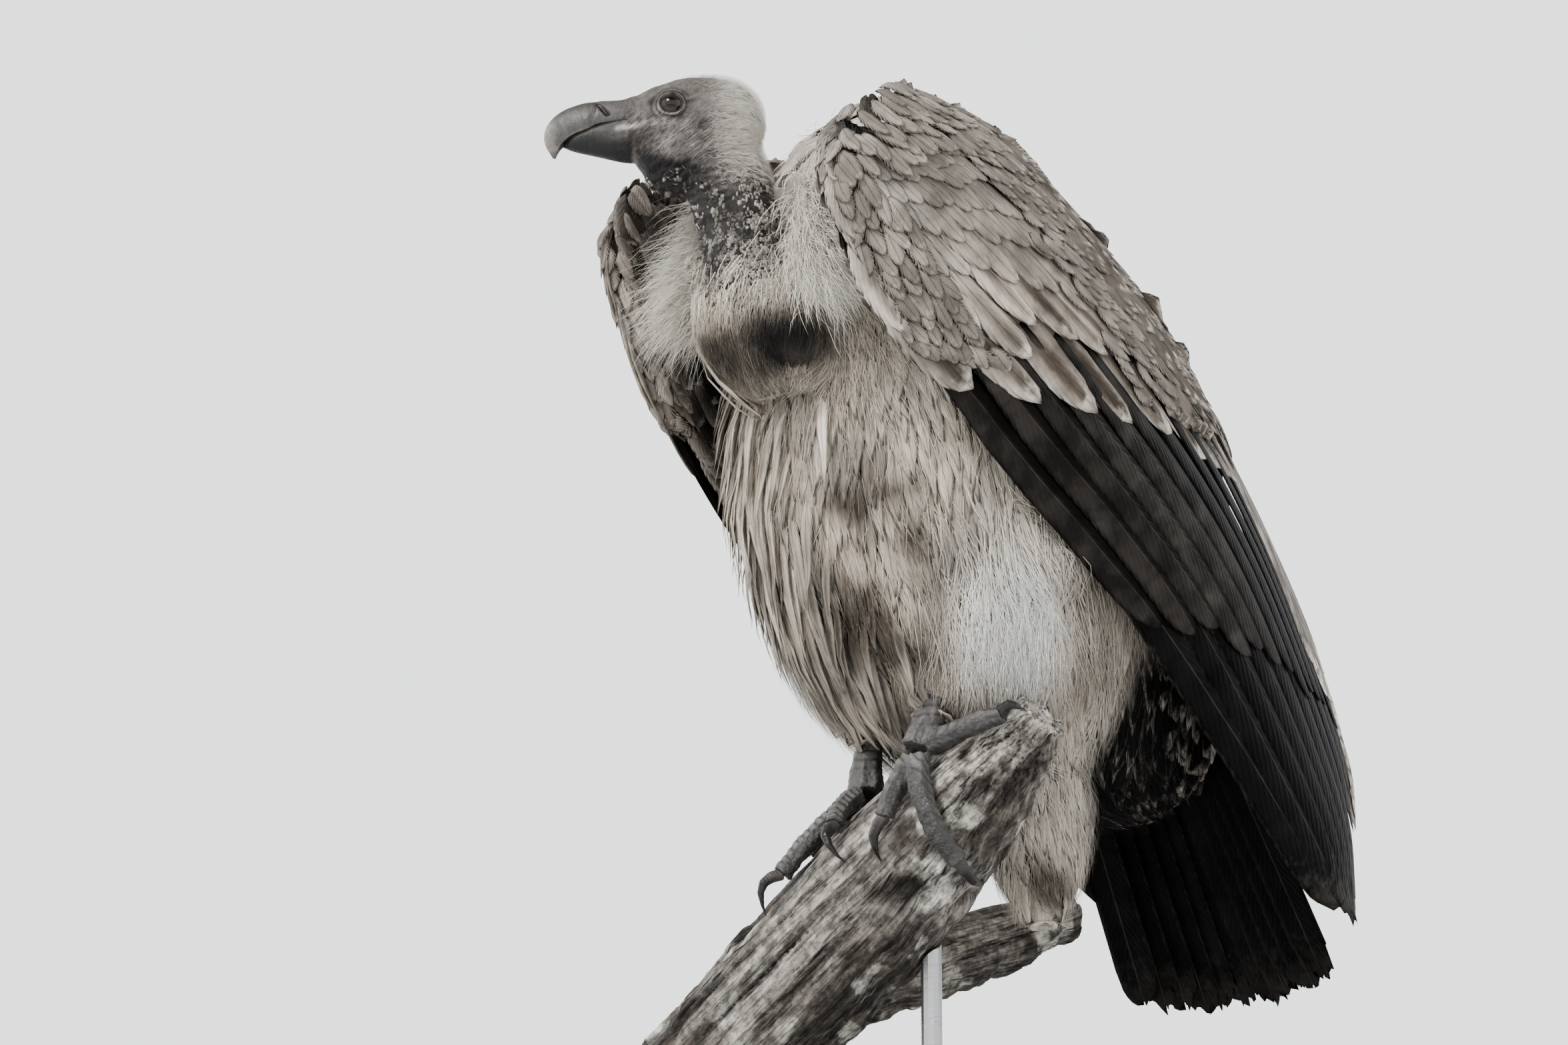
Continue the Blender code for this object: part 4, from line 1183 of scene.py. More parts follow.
def make_bill():
    finish = horn_finish("worn_bill", 0.40)
    mesh, places = bill_mesh("bill_upper_horn", UPPER_BILL, UPPER_ARCH, 120, upper_bill_shape)
    ahead, left, up = places.T
    horn = np.array([0.052, 0.047, 0.043])
    tone = all_over(horn, len(places))
    tone = mixed(tone, [0.26, 0.235, 0.205], 0.75 * ease(ahead, 0.073, 0.084))
    tone = mixed(tone, [0.045, 0.040, 0.036], 0.7 * ease(-up, 0.0225, 0.0295))
    edge = ridge(up - np.interp(ahead, *CUTTING_EDGE), 0.0014)
    tone = mixed(tone, [0.15, 0.138, 0.122], edge * 0.55)
    cere = 1 - ease(ahead + 0.22 * up, 0.0490, 0.0505)
    tone = mixed(tone, CERE_GREY, cere)
    seam = ridge(ahead + 0.22 * up - 0.0503, 0.0007)
    tone = mixed(tone, SKIN_DARK, seam * 0.7)
    tone = mixed(tone, SKIN_DARK * 0.3, np.clip(nostril_share(places) * 1.25, 0, 1))
    tone = tone * (1 + 0.16 * rough(places, 0.006, 3, 61))[:, None]
    paint(mesh, "tone", mixed(face(points_of(mesh)), tone, ease(ahead, 0.029, 0.040)))
    paint(mesh, "soft", np.repeat(1 - ease(ahead, 0.030, 0.046)[:, None], 3, axis=1))
    comb(mesh, points_of(mesh), cheek_share(points_of(mesh)))
    upper = mesh
    placed("bill_upper_horn", mesh, finish, "horn", "bill_upper")
    mesh, places = bill_mesh("bill_lower_horn", LOWER_BILL, LOWER_ARCH, 50, lambda spots: spots)
    # Near-black lower mandible: its dark horn darkened further as painted shade for the unlit underside;
    # paler along a line near its top.
    tone = mixed(np.array([0.006, 0.0055, 0.0052]), np.array([0.040, 0.037, 0.034]),
                 ridge(places[:, 2] + 0.010 + 0.25 * (places[:, 0] - 0.045), 0.0022))
    tone = tone * (1 + 0.16 * rough(places, 0.006, 3, 67))[:, None]
    paint(mesh, "tone", mixed(face(points_of(mesh)), tone, ease(places[:, 0], 0.030, 0.056)))
    paint(mesh, "soft", np.repeat(1 - ease(places[:, 0], 0.034, 0.054)[:, None], 3, axis=1))
    comb(mesh, points_of(mesh), cheek_share(points_of(mesh)))
    placed("bill_lower_horn", mesh, finish, "horn", "bill_lower")
    return [surface_of(part)[2] for part in (upper, mesh)]


# ---------------------------------------------------------------- feathers on the body

def surface_of(mesh):
    """A search over a mesh that gives the nearest spots and smooth normals for many points."""
    mesh.calc_loop_triangles()
    triangles = read(mesh.loop_triangles, "vertices", 3, np.int32)
    points, normals = points_of(mesh), normals_of(mesh)
    tree = BVHTree.FromPolygons(points.tolist(), triangles.tolist())
    face_normals = unit(normals[triangles].mean(axis=1))

    def nearest(places):
        found = [tree.find_nearest(Vector(place)) for place in places]
        return np.array([hit[0][:] for hit in found]), face_normals[[hit[2] for hit in found]]

    return points, triangles, nearest


def scattered(points, triangles, count, density):
    """Even random spots on a mesh, kept where a draw falls under the density there."""
    corners = points[triangles]
    area = np.linalg.norm(np.cross(corners[:, 1] - corners[:, 0], corners[:, 2] - corners[:, 0]), axis=1)
    area = area * density(corners.mean(axis=1))
    chosen = LUCK.choice(len(area), size=count, p=area / area.sum())
    first, second = LUCK.random((2, count, 1))
    over = first + second > 1
    first, second = np.where(over, 1 - first, first), np.where(over, 1 - second, second)
    spots = corners[chosen]
    return spots[:, 0] + first * (spots[:, 1] - spots[:, 0]) + second * (spots[:, 2] - spots[:, 0])


def spaced(points, gap):
    """Thins points so that no two kept ones lie nearer than the gap at the later one."""
    cell = float(np.max(gap))
    kept, cells = [], {}
    for number, point in enumerate(points):
        key = tuple((point // cell).astype(int))
        clear = True
        for step in np.ndindex(3, 3, 3):
            near = cells.get((key[0] + step[0] - 1, key[1] + step[1] - 1, key[2] + step[2] - 1), ())
            if any(np.sum((points[other] - point) ** 2) < gap[number] ** 2 for other in near):
                clear = False
                break
        if clear:
            kept.append(number)
            cells.setdefault(key, []).append(number)
    return np.array(kept)


def lie(spots, normals):
    """The way the body's feathers point along the skin."""
    across, down, back = in_body(spots).T
    front = ease(-back, 0.020, 0.090)[:, None]
    fan = unit(spots - FAN) * [1.0, 0.6, 1.0]
    way = (DOWN + 0.35 * BACK) * (1 - front) + (0.75 * fan - 0.70 * UP) * front
    leg = (ease(down, 0.055, 0.095) * ease(np.abs(across), 0.045, 0.075))[:, None]
    way = way * (1 - leg) + (-UP + 0.25 * BACK) * leg
    way = way + 0.16 * drift(spots, 0.035, 71)
    way = along_skin(way, normals)
    return unit(way)


def laid(roots, nearest, lengths, rows, base, lift, flow, sway=0.0):
    """Paths from the roots along the surface, rising from base to lift above it."""
    spots, normals = nearest(roots)
    turn = LUCK.normal(0, sway, (len(roots), 1))
    path, fronts = [], []
    for row in range(rows):
        t = row / (rows - 1)
        height = base + (lift - base) * t ** 0.75
        path.append(spots + normals * np.broadcast_to(height, len(roots))[:, None])
        fronts.append(normals)
        way = flow(spots, normals)
        way = unit(way + turn * np.cross(normals, way))
        spots, normals = nearest(spots + way * (lengths / (rows - 1))[:, None])
    return np.stack(path, axis=1), np.stack(fronts, axis=1)


def unbent(paths, lengths):
    """Which paths ran on freely, without turning back at a crease or an edge."""
    span = np.linalg.norm(paths[:, -1] - paths[:, 0], axis=1)
    return span > 0.80 * np.broadcast_to(lengths, len(paths))


def open_share(spots):
    """1 where feathers may stand on the body: off the bare neck and clear of the folded wings."""
    return (1 - ease(neck_share(spots), 0.25, 0.6)) * (in_body(spots)[:, 1] < 0.30)


def ordered(paths):
    """Later feathers of a piece lie nearer the head."""
    return np.argsort(-in_body(paths[:, 0])[:, 1])


# Each coat's name, where it stands (down the body and back), length, width, tip, pointed, lift.
BODY_COATS = (
    ("breast_feathers", lambda down, back: (back < -0.015) & (down < 0.045),
     0.066, 0.0200, 0.66, True, 0.008),
    ("belly_feathers", lambda down, back: (back < -0.015) & (down >= 0.045),
     0.062, 0.0220, 0.60, True, 0.008),
    ("mantle_feathers", lambda down, back: back >= -0.015, 0.060, 0.0260, 0.42, False, 0.007))


def body_feathers(body, wings):
    points, triangles, nearest = body
    finish = vane_finish("breast_feather", 0.78, 60.0, 0.5, 0.55, 0.25)
    roots = scattered(points, triangles, 26000, open_share)
    roots = roots[distance_to(roots, wings) > 0.012]
    away = in_body(roots)
    front = ease(-away[:, 2], 0.0, 0.07)
    high = ease(-away[:, 1], 0.06, 0.14)
    gap = 0.0088 - 0.0022 * high + 0.003 * (1 - front)
    roots = roots[spaced(roots, gap)]
    hairy = lump(roots, [0.004, -0.184, 0.632], [0.046, 0.040, 0.020])
    roots = roots[(crop_share(roots, 1.15) < 0.52) & (hairy < 0.80)]
    for name, chosen, length, width, tip, sharp, tilt in BODY_COATS:
        own = roots[chosen(*in_body(roots).T[1:])]
        count = len(own)
        size = LUCK.uniform(0.72, 1.15, count)
        throat = lump(own, [0.012, -0.180, 0.632], [0.060, 0.050, 0.030])
        short = 1 - 0.35 * ease(-in_body(own)[:, 1], 0.10, 0.18) - 0.30 * throat
        size = size * (1 - 0.45 * throat)
        paths, fronts = laid(own, nearest, length * size * short, 8, 0.0016, tilt, lie, 0.10)
        order = ordered(paths)
        order = order[unbent(paths, length * size * short)[order]]
        paths, fronts, size = paths[order], fronts[order], size[order]
        count = len(order)
        tone = plumage(paths.reshape(-1, 3)).reshape(paths.shape)
        shade = LUCK.uniform(0.88, 1.08, (count, 1, 1))
        fade = np.linspace(0.74, 1.06, 8)[None, :, None]
        marks = np.stack([LUCK.uniform(0.10, 0.45, count), LUCK.uniform(0.05, 0.50, count),
                          np.full(count, 0.8)], axis=-1)
        vanes(name, paths, fronts, width * size, tone * shade * fade, marks, finish, "plumage",
              columns=3, ragged=0.040, grid=False, tip=tip, sharp=sharp, camber=0.22)
    hanging_feathers(body, wings, finish)


def hanging_feathers(body, wings, finish):
    """Long narrow feathers that hang loose from the sides of the breast and belly."""
    points, triangles, nearest = body

    def sides(spots):
        breast = lump(spots, [-0.070, -0.088, 0.540], [0.040, 0.060, 0.100])
        belly = lump(spots, [-0.045, -0.075, 0.445], [0.050, 0.050, 0.030])
        return np.maximum(breast, belly) + 1e-9

    roots = scattered(points, triangles, 1500, sides)
    roots = roots[distance_to(roots, wings) > 0.006]
    roots = roots[spaced(roots, np.full(len(roots), 0.0105))]
    size = LUCK.uniform(0.6, 1.15, len(roots))

    def hang(spots, normals):
        way = -UP + 0.25 * normals + 0.10 * drift(spots, 0.02, 191)
        return unit(along_skin(way, normals, 0.75))

    paths, fronts = laid(roots, nearest, 0.078 * size, 8, 0.0020, 0.0210, hang, 0.08)
    order = ordered(paths)
    paths, fronts, size = paths[order], fronts[order], size[order]
    tone = plumage(paths.reshape(-1, 3)).reshape(paths.shape) * LUCK.uniform(0.75, 1.25, (len(size), 1, 1))
    marks = np.stack([LUCK.uniform(0.2, 0.6, len(size)), LUCK.uniform(0.1, 0.7, len(size)),
                      np.full(len(size), 0.8)], axis=-1)
    vanes("hanging_feathers", paths, fronts, 0.0115 * size, tone, marks, finish, "plumage",
          columns=3, ragged=0.040, grid=False, tip=0.75, sharp=True, camber=0.22)


def soft_share(spots):
    down = in_body(spots)[:, 1]
    return open_share(spots) * ease(-in_body(spots)[:, 2], -0.02, 0.04) * (0.5 + ease(down, 0.0, 0.12))


def leg_share(spots):
    both = both_sides(spots)
    return lump(both, [0.100, -0.036, 0.460], [0.026, 0.034, 0.052]) + 1e-9


def ankle_share(spots):
    both = both_sides(spots)
    return np.clip(1.6 * lump(both, ANKLE, np.array([0.030, 0.030, 0.024])) - 0.3, 0, 1) + 1e-9


def throat_share(spots):
    near = lump(spots, [0.004, -0.184, 0.632], [0.056, 0.046, 0.027])
    return np.maximum(near, crop_share(spots, 1.5)) * (crop_share(spots) < 0.72) + 1e-9


# Each kind's name, count, density, length, lift, width, rows, and how far its tone varies.
BARBS = (
    ("short_barbs", 7200, soft_share, 0.022, 0.0105, 0.00050, 3, 0.14),
    ("long_barbs", 5600, soft_share, 0.036, 0.0120, 0.00060, 4, 0.14),
    ("ankle_barbs", 3000, ankle_share, 0.034, 0.0100, 0.00070, 4, 0.14),
    ("throat_barbs", 6000, throat_share, 0.024, 0.0080, 0.00065, 3, 0.45),
    ("thigh_barbs", 4200, leg_share, 0.070, 0.0190, 0.00075, 4, 0.22))


def body_wisps(body, wings):
    """Fine loose barbs that soften the breast, belly and thighs."""
    points, triangles, nearest = body
    finish = down_finish("loose_barbs")

    for name, count, density, length, lift, width, rows, spread in BARBS:
        roots = scattered(points, triangles, int(count * 1.6), density)
        roots = roots[distance_to(roots, wings) > 0.006][:count]
        size = LUCK.uniform(0.6, 1.2, len(roots)) * (1 - 0.5 * (crop_share(roots) > 0.6))
        paths, fronts = laid(roots, nearest, length * size, rows, 0.006, lift, lie, 0.22)
        free = unbent(paths, length * size)
        paths, fronts, size = paths[free], fronts[free], size[free]
        bend = LUCK.normal(0, 0.10, (len(paths), 1, 3)) * (np.linspace(0, 1, rows) ** 2)[None, :, None]
        paths = paths + bend * (length * size)[:, None, None] * 0.6
        tone = plumage(paths.reshape(-1, 3)).reshape(paths.shape)
        tone = np.clip(tone * LUCK.uniform(1.04 - spread, 1.04 + spread, (len(paths), 1, 1)), 0, 0.86)
        blades(name, paths, fronts, width * LUCK.uniform(0.7, 1.3, len(paths)), tone, finish, "plumage")


def ruff_flow(spots, normals):
    """The way the wool of the ruff streams: outwards from the neck, down and back."""
    outward = (spots - EYES) * [1.0, 0.7, 0.0]
    way = 0.55 * unit(outward) - 0.75 * UP + 0.25 * BACK
    way = way + 0.75 * drift(spots, 0.022, 81)
    way = along_skin(way, normals)
    return unit(way)


def make_ruff():
    """The puffed collar: a woolly core under layers of fine strands."""
    core = voxel_mesh(["ruff"], 0.0, 0.0040)
    edges = edges_of(core)
    for _ in range(4):
        set_points(core, relaxed(points_of(core) - normals_of(core) * 0.0020, edges, 3))
    core.shade_smooth()
    finish = down_finish("ruff_wool", 0.95)
    paint(core, "tone", all_over(CREAM * 0.98, len(core.vertices)))
    placed("ruff_core", core, finish, "down", "ruff")
    points, triangles, nearest = surface_of(core)
    middles = points[triangles].mean(axis=1)
    share = 1 - 0.9 * neck_share(middles)
    for number, (length, base, lift, sway, rows, count) in enumerate(
            ((0.016, 0.0000, 0.0070, 1.6, 3, 5200), (0.040, 0.0030, 0.0120, 0.30, 4, 6500))):
        roots = scattered(points, triangles, count, lambda places: share)
        size = LUCK.uniform(0.5, 1.15, count)
        rise = base * LUCK.uniform(0.0, 1.6, count)
        paths, fronts = laid(roots, nearest, length * size, rows, rise, lift, ruff_flow, sway)
        curl = LUCK.normal(0, 1, (count, 1, 3)) * np.sin(np.linspace(0, 3.0, rows))[None, :, None] * 0.0018
        clear = off_crop(paths)
        paths, fronts = (paths + curl)[clear], fronts[clear]
        blades(f"ruff_wool_{number}", paths, fronts, 0.00072 * LUCK.uniform(0.7, 1.3, len(paths)),
               wool_tones(paths), finish, "down")
    for side, sign in (("left", 1), ("right", -1)):
        fan_of_wool(side, sign, finish, 6600)


def off_crop(paths):
    """Which strands end clear of the dark patch over the crop."""
    return crop_share(paths[:, -1], 1.15) < 0.30


def wool_tones(paths):
    """Off-white for each point of each strand, dimmer at the roots and in soft patches."""
    count, rows = paths.shape[:2]
    shade = LUCK.uniform(0.84, 1.06, (count, 1, 1)) * np.linspace(0.84, 1.0, rows)[None, :, None]
    return np.clip(CREAM * 1.16 * shade * (1 + 0.08 * noise(paths, 0.012, 91)[..., None]), 0, 0.9)


def fan_of_wool(side, sign, finish, count):
    """Long soft strands that spring from the side of the neck and droop over the wing's edge."""
    top = np.array([0.044, -0.134, 0.750])
    low = np.array([0.058, -0.160, 0.676])
    t = LUCK.random((count, 1))
    roots = (top + (low - top) * t + LUCK.normal(0, 0.0085, (count, 3))) * [sign, 1, 1]
    spread = LUCK.normal(0, 1, (count, 3))
    first = unit(np.array([0.62 * sign, -0.62, 0.30]) - [0, 0, 0.75] * t + 0.34 * spread)
    last = unit(np.array([0.55 * sign, -0.05, -0.80]) + 0.22 * spread)
    length = (0.036 + 0.012 * np.sin(t * math.pi)) * LUCK.uniform(0.45, 1.15, (count, 1))
    steps = np.linspace(0, 1, 4)[None, :, None]
    reach = first[:, None] * (steps - 0.5 * steps ** 2) + last[:, None] * 0.5 * steps ** 2
    paths = roots[:, None] + reach * length[:, None] * 1.25
    wave = noise(paths, 0.016, 93)[..., None] * 0.0022 + LUCK.normal(0, 0.0009, (count, 1, 1))
    paths = paths + wave * steps * np.array([0.0, 1.0, 0.4])
    paths = paths[off_crop(paths)]
    fronts = np.broadcast_to(unit(np.array([0.5 * sign, -0.8, 0.3])), paths.shape)
    blades(f"ruff_fan_{side}", paths, fronts, 0.00062 * LUCK.uniform(0.6, 1.3, len(paths)), wool_tones(paths),
           finish, "down")


def wool_share(spots):
    """How thickly the wool stands on the bare neck: most at the back and round the base."""
    places = in_head(spots)
    off_head = ease(-places[:, 2], 0.034, 0.054) + ease(-places[:, 0], 0.030, 0.050)
    rear = ease(-places[:, 0], 0.010, 0.070)
    low = ease(0.735 - spots[:, 2], 0.0, 0.065)
    clear = 1 - np.clip(crop_share(spots) * 2.2 - 0.25, 0, 1)
    patchy = 0.75 + 0.55 * noise(spots, 0.012, 141)
    return np.clip(off_head, 0, 1) * (0.22 + 0.55 * rear + 0.50 * low) * clear * patchy * neck_share(spots)


def clump_tree(finish):
    """A node tree that sets lumpy clumps over a surface wherever its wool attribute asks for them."""
    tree = bpy.data.node_groups.new("wool_clumps", "GeometryNodeTree")
    face = tree.interface
    face.new_socket("Surface", in_out="INPUT", socket_type="NodeSocketGeometry")
    ids = {}
    for name in ("Clump size", "Spacing", "Density", "Lumpiness", "Patchiness"):
        ids[name] = face.new_socket(name, in_out="INPUT", socket_type="NodeSocketFloat").identifier
    face.new_socket("Clumps", in_out="OUTPUT", socket_type="NodeSocketGeometry")
    inputs = tree.nodes.new("NodeGroupInput").outputs
    result = tree.nodes.new("NodeGroupOutput").inputs

    def step(kind, links, **settings):
        made = tree.nodes.new(kind)
        for key, value in settings.items():
            setattr(made, key, value)
        for key, value in links.items():
            if isinstance(value, bpy.types.NodeSocket):
                tree.links.new(value, made.inputs[key])
            else:
                made.inputs[key].default_value = value
        return made

    def maths(operation, *values, **settings):
        links = dict(enumerate(values))
        return step("ShaderNodeMath", links, operation=operation, **settings).outputs["Value"]

    def scaled(vector, scale):
        links = {0: vector, "Scale": scale}
        return step("ShaderNodeVectorMath", links, operation="SCALE").outputs["Vector"]

    wool = step("GeometryNodeInputNamedAttribute", {"Name": "wool"}, data_type="FLOAT").outputs["Attribute"]
    patches = step("ShaderNodeTexNoise", {"Scale": inputs["Patchiness"], "Detail": 2.0}).outputs["Fac"]
    level = maths("MULTIPLY_ADD", wool, -0.34, 0.640)
    factor = maths("MULTIPLY", maths("SUBTRACT", patches, level), 16.0, use_clamp=True)
    chance = maths("MULTIPLY", factor, maths("GREATER_THAN", wool, 0.04))
    spots = step("GeometryNodeDistributePointsOnFaces",
                 {"Mesh": inputs["Surface"], "Distance Min": inputs["Spacing"],
                  "Density Max": inputs["Density"], "Density Factor": chance, "Seed": 5},
                 distribute_method="POISSON").outputs
    ball_of_wool = step("GeometryNodeMeshIcoSphere", {"Radius": 1.0, "Subdivisions": 1}).outputs["Mesh"]
    uneven = step("FunctionNodeRandomValue",
                  {"Min": (0.50, 0.50, 0.30), "Max": (1.25, 1.80, 0.95), "Seed": 8},
                  data_type="FLOAT_VECTOR").outputs["Value"]
    clumps = step("GeometryNodeInstanceOnPoints",
                  {"Points": spots["Points"], "Instance": ball_of_wool, "Rotation": spots["Rotation"],
                   "Scale": scaled(uneven, inputs["Clump size"])}).outputs["Instances"]
    real = step("GeometryNodeRealizeInstances", {"Geometry": clumps}).outputs["Geometry"]
    bumps = step("ShaderNodeTexNoise", {"Scale": 520.0, "Detail": 2.0}).outputs["Color"]
    centred = step("ShaderNodeVectorMath", {0: bumps, 1: (0.5, 0.5, 0.5)}, operation="SUBTRACT")
    offset = scaled(centred.outputs["Vector"], inputs["Lumpiness"])
    lumpy = step("GeometryNodeSetPosition", {"Geometry": real, "Offset": offset}).outputs["Geometry"]
    covered = step("GeometryNodeSetMaterial", {"Geometry": lumpy, "Material": finish})
    tree.links.new(covered.outputs["Geometry"], result["Clumps"])
    return tree, ids


CLUMPS = {"Clump size": 0.00145, "Spacing": 0.0014, "Density": 900000.0, "Lumpiness": 0.0022,
          "Patchiness": 210.0}
CLUMP_CORNERS = 12


def make_wool_clumps(skin):
    """The pale woolly flecks on the neck's bare skin."""
    finish = down_finish("neck_wool", 0.95)
    surface = skin.data.copy()
    store(surface, "wool", "FLOAT", "value", np.clip(wool_share(points_of(surface)), 0, 1))
    holder = in_scene("wool_holder", surface)
    tree, ids = clump_tree(finish)
    spread = holder.modifiers.new("clumps", "NODES")
    spread.node_group = tree
    for name, value in CLUMPS.items():
        spread[ids[name]] = value
    mesh = evaluated(holder)
    mesh.shade_smooth()
    middles = points_of(mesh).reshape(-1, CLUMP_CORNERS, 3).mean(axis=1)
    high = noise(middles, 0.008, 151) + LUCK.uniform(-0.35, 0.35, len(middles))
    rear = ease(-in_head(middles)[:, 0], 0.010, 0.060)
    low = ease(0.700 - middles[:, 2], 0.0, 0.040)
    pale = np.clip(0.16 + 0.45 * high + 0.30 * rear + 0.35 * low, 0, 1)
    tone = mixed(np.array([0.060, 0.054, 0.048]), CREAM * 0.62, pale)
    for name in ("tone", "wool"):
        if name in mesh.attributes:
            mesh.attributes.remove(mesh.attributes[name])
    paint(mesh, "tone", np.repeat(tone, CLUMP_CORNERS, axis=0))
    for layer in list(mesh.uv_layers):
        mesh.uv_layers.remove(layer)
    turn = np.arange(CLUMP_CORNERS) * 2.4
    reach = np.sqrt(np.arange(CLUMP_CORNERS) / CLUMP_CORNERS)
    local = np.stack([0.5 + 0.5 * np.cos(turn) * reach, 0.5 + 0.5 * np.sin(turn) * reach], axis=-1)
    add_map(mesh, "OFBake", spot_patches(middles, local).reshape(-1, 2))
    placed("neck_clumps", mesh, finish, "down")


FUZZ_COUNT = 9500


def band_share(spots):
    """1 where the thick band of wool stands round the neck's base."""
    band = lump(spots, [0.042, -0.176, 0.664], [0.022, 0.028, 0.0125])
    far = lump(spots, [-0.036, -0.182, 0.668], [0.022, 0.028, 0.0125])
    band = np.clip(np.maximum(band, far) * 1.6 - 0.25, 0, 1)
    return band * (1 - np.clip(crop_share(spots) * 2.2 - 0.3, 0, 1)) + 1e-9


def neck_band(body, finish):
    points, triangles, nearest = body
    count = 5200
    roots = scattered(points, triangles, count, band_share)
    length = 0.0125 * LUCK.uniform(0.4, 1.2, count)
    paths, fronts = laid(roots, nearest, length, 3, 0.0, 0.0062, ruff_flow, 0.9)
    paths = paths + LUCK.normal(0, 1, (count, 1, 3)) * np.linspace(0, 1, 3)[None, :, None] * 0.0012
    clear = off_crop(paths)
    paths, fronts, count = paths[clear], fronts[clear], int(clear.sum())
    tone = CREAM * LUCK.uniform(0.75, 1.15, (count, 1))
    blades("neck_band", paths, fronts, 0.00052 * LUCK.uniform(0.7, 1.3, count),
           np.repeat(tone[:, None], 3, axis=1), finish, "down")


def neck_fuzz(body, finish):
    points, triangles, nearest = body
    count = FUZZ_COUNT
    roots = scattered(points, triangles, count, lambda spots: np.maximum(wool_share(spots), 0) + 1e-9)
    length = 0.0046 * LUCK.uniform(0.4, 1.3, count)
    paths, fronts = laid(roots, nearest, length, 3, 0.0, 0.0030, ruff_flow, 1.0)
    clump = ease(noise(roots, 0.006, 101), -0.2, 0.5)
    tone = mixed(SKIN_DARK * 3.0, np.array([0.46, 0.42, 0.37]), clump) * LUCK.uniform(0.6, 1.2, (count, 1))
    blades("neck_fuzz", paths, fronts, 0.00020 * LUCK.uniform(0.7, 1.3, count),
           np.repeat(tone[:, None], 3, axis=1), finish, "down")


def crown_share(spots):
    """1 on the crown and nape."""
    places = in_head(spots)
    crown = ease(places[:, 2], 0.006, 0.018) * ease(-places[:, 0], 0.000, 0.022)
    nape = ease(-places[:, 0], 0.020, 0.036) * ease(places[:, 2], -0.056, -0.018)
    return np.maximum(0.6 * crown, nape) * (np.linalg.norm(places, axis=1) < 0.078) + 1e-9


def swept_back(spots, normals):
    way = -0.9 * HEAD_AHEAD - 0.3 * UP + 0.5 * drift(spots, 0.010, 95)
    return unit(along_skin(way, normals))


def crown_fuzz(body, finish):
    points, triangles, nearest = body
    count = FUZZ_COUNT
    roots = scattered(points, triangles, count, crown_share)
    rear = ease(-in_head(roots)[:, 0], 0.010, 0.045)
    length = (0.0050 + 0.0055 * rear) * LUCK.uniform(0.5, 1.3, count)
    paths, fronts = laid(roots, nearest, length, 3, 0.0, 0.0026 + 0.0030 * rear, swept_back, 0.35)
    tone = mixed(np.array([0.17, 0.155, 0.14]), CREAM * 1.12, rear) * LUCK.uniform(0.75, 1.1, (count, 1))
    tones = np.repeat(tone[:, None], 3, axis=1)
    blades("crown_fuzz", paths, fronts, 0.00014 * LUCK.uniform(0.7, 1.3, count), tones, finish, "down")


def make_neck_down(body):
    """Woolly strands over the neck's clumps and a thick band of them at its base; fuzz on the crown."""
    finish = down_finish("neck_fuzz", 0.95)
    for part in (neck_band, neck_fuzz, crown_fuzz):
        part(body, finish)


# ---------------------------------------------------------------- wings

def evened(rows):
    return (rows[:-2] + 2 * rows[1:-1] + rows[2:]) / 4


def wing_grids(side, sign, shares):
    """Feels one folded wing's outer and inner faces in rows down the body, evened out."""
    tree, _ = tree_of([f"wing_{side}_{part}" for part in ("coverts", "secondaries", "primaries")])
    tries = np.linspace(-0.246, 0.440, 92)
    backs = np.arange(-0.165, 0.225, 0.002)
    faces = {"outer": [], "inner": []}
    edges, rows = [], []
    for down in tries:
        hits = {"outer": [], "inner": []}
        for back in backs:
            for face_name, start, way in (("outer", 0.30 * sign, -sign), ("inner", 0.0, sign)):
                origin = CORE + DOWN * down + BACK * back
                spot, _, _, _ = tree.ray_cast(Vector(origin + [start, 0, 0]), Vector((way, 0, 0)), 0.3)
                if spot:
                    hits[face_name].append((back, spot[0]))
        if min(len(found) for found in hits.values()) < 6:
            continue
        rows.append(down)
        outer = np.array(hits["outer"])
        edges.append((outer[0, 0], outer[-1, 0]))
        for face_name, found in hits.items():
            found = np.array(found)
            places = outer[0, 0] + (outer[-1, 0] - outer[0, 0]) * shares
            faces[face_name].append(np.interp(places, found[:, 0], found[:, 1]))
    rows, edges = np.array(rows), np.array(edges)
    for _ in range(3):
        edges[1:-1] = evened(edges)
    for face_name in faces:
        sheet = np.array(faces[face_name])
        for _ in range(3):
            sheet[1:-1] = evened(sheet)
            sheet[:, 1:-1] = evened(sheet.T).T
        faces[face_name] = sheet
    return rows, edges, faces


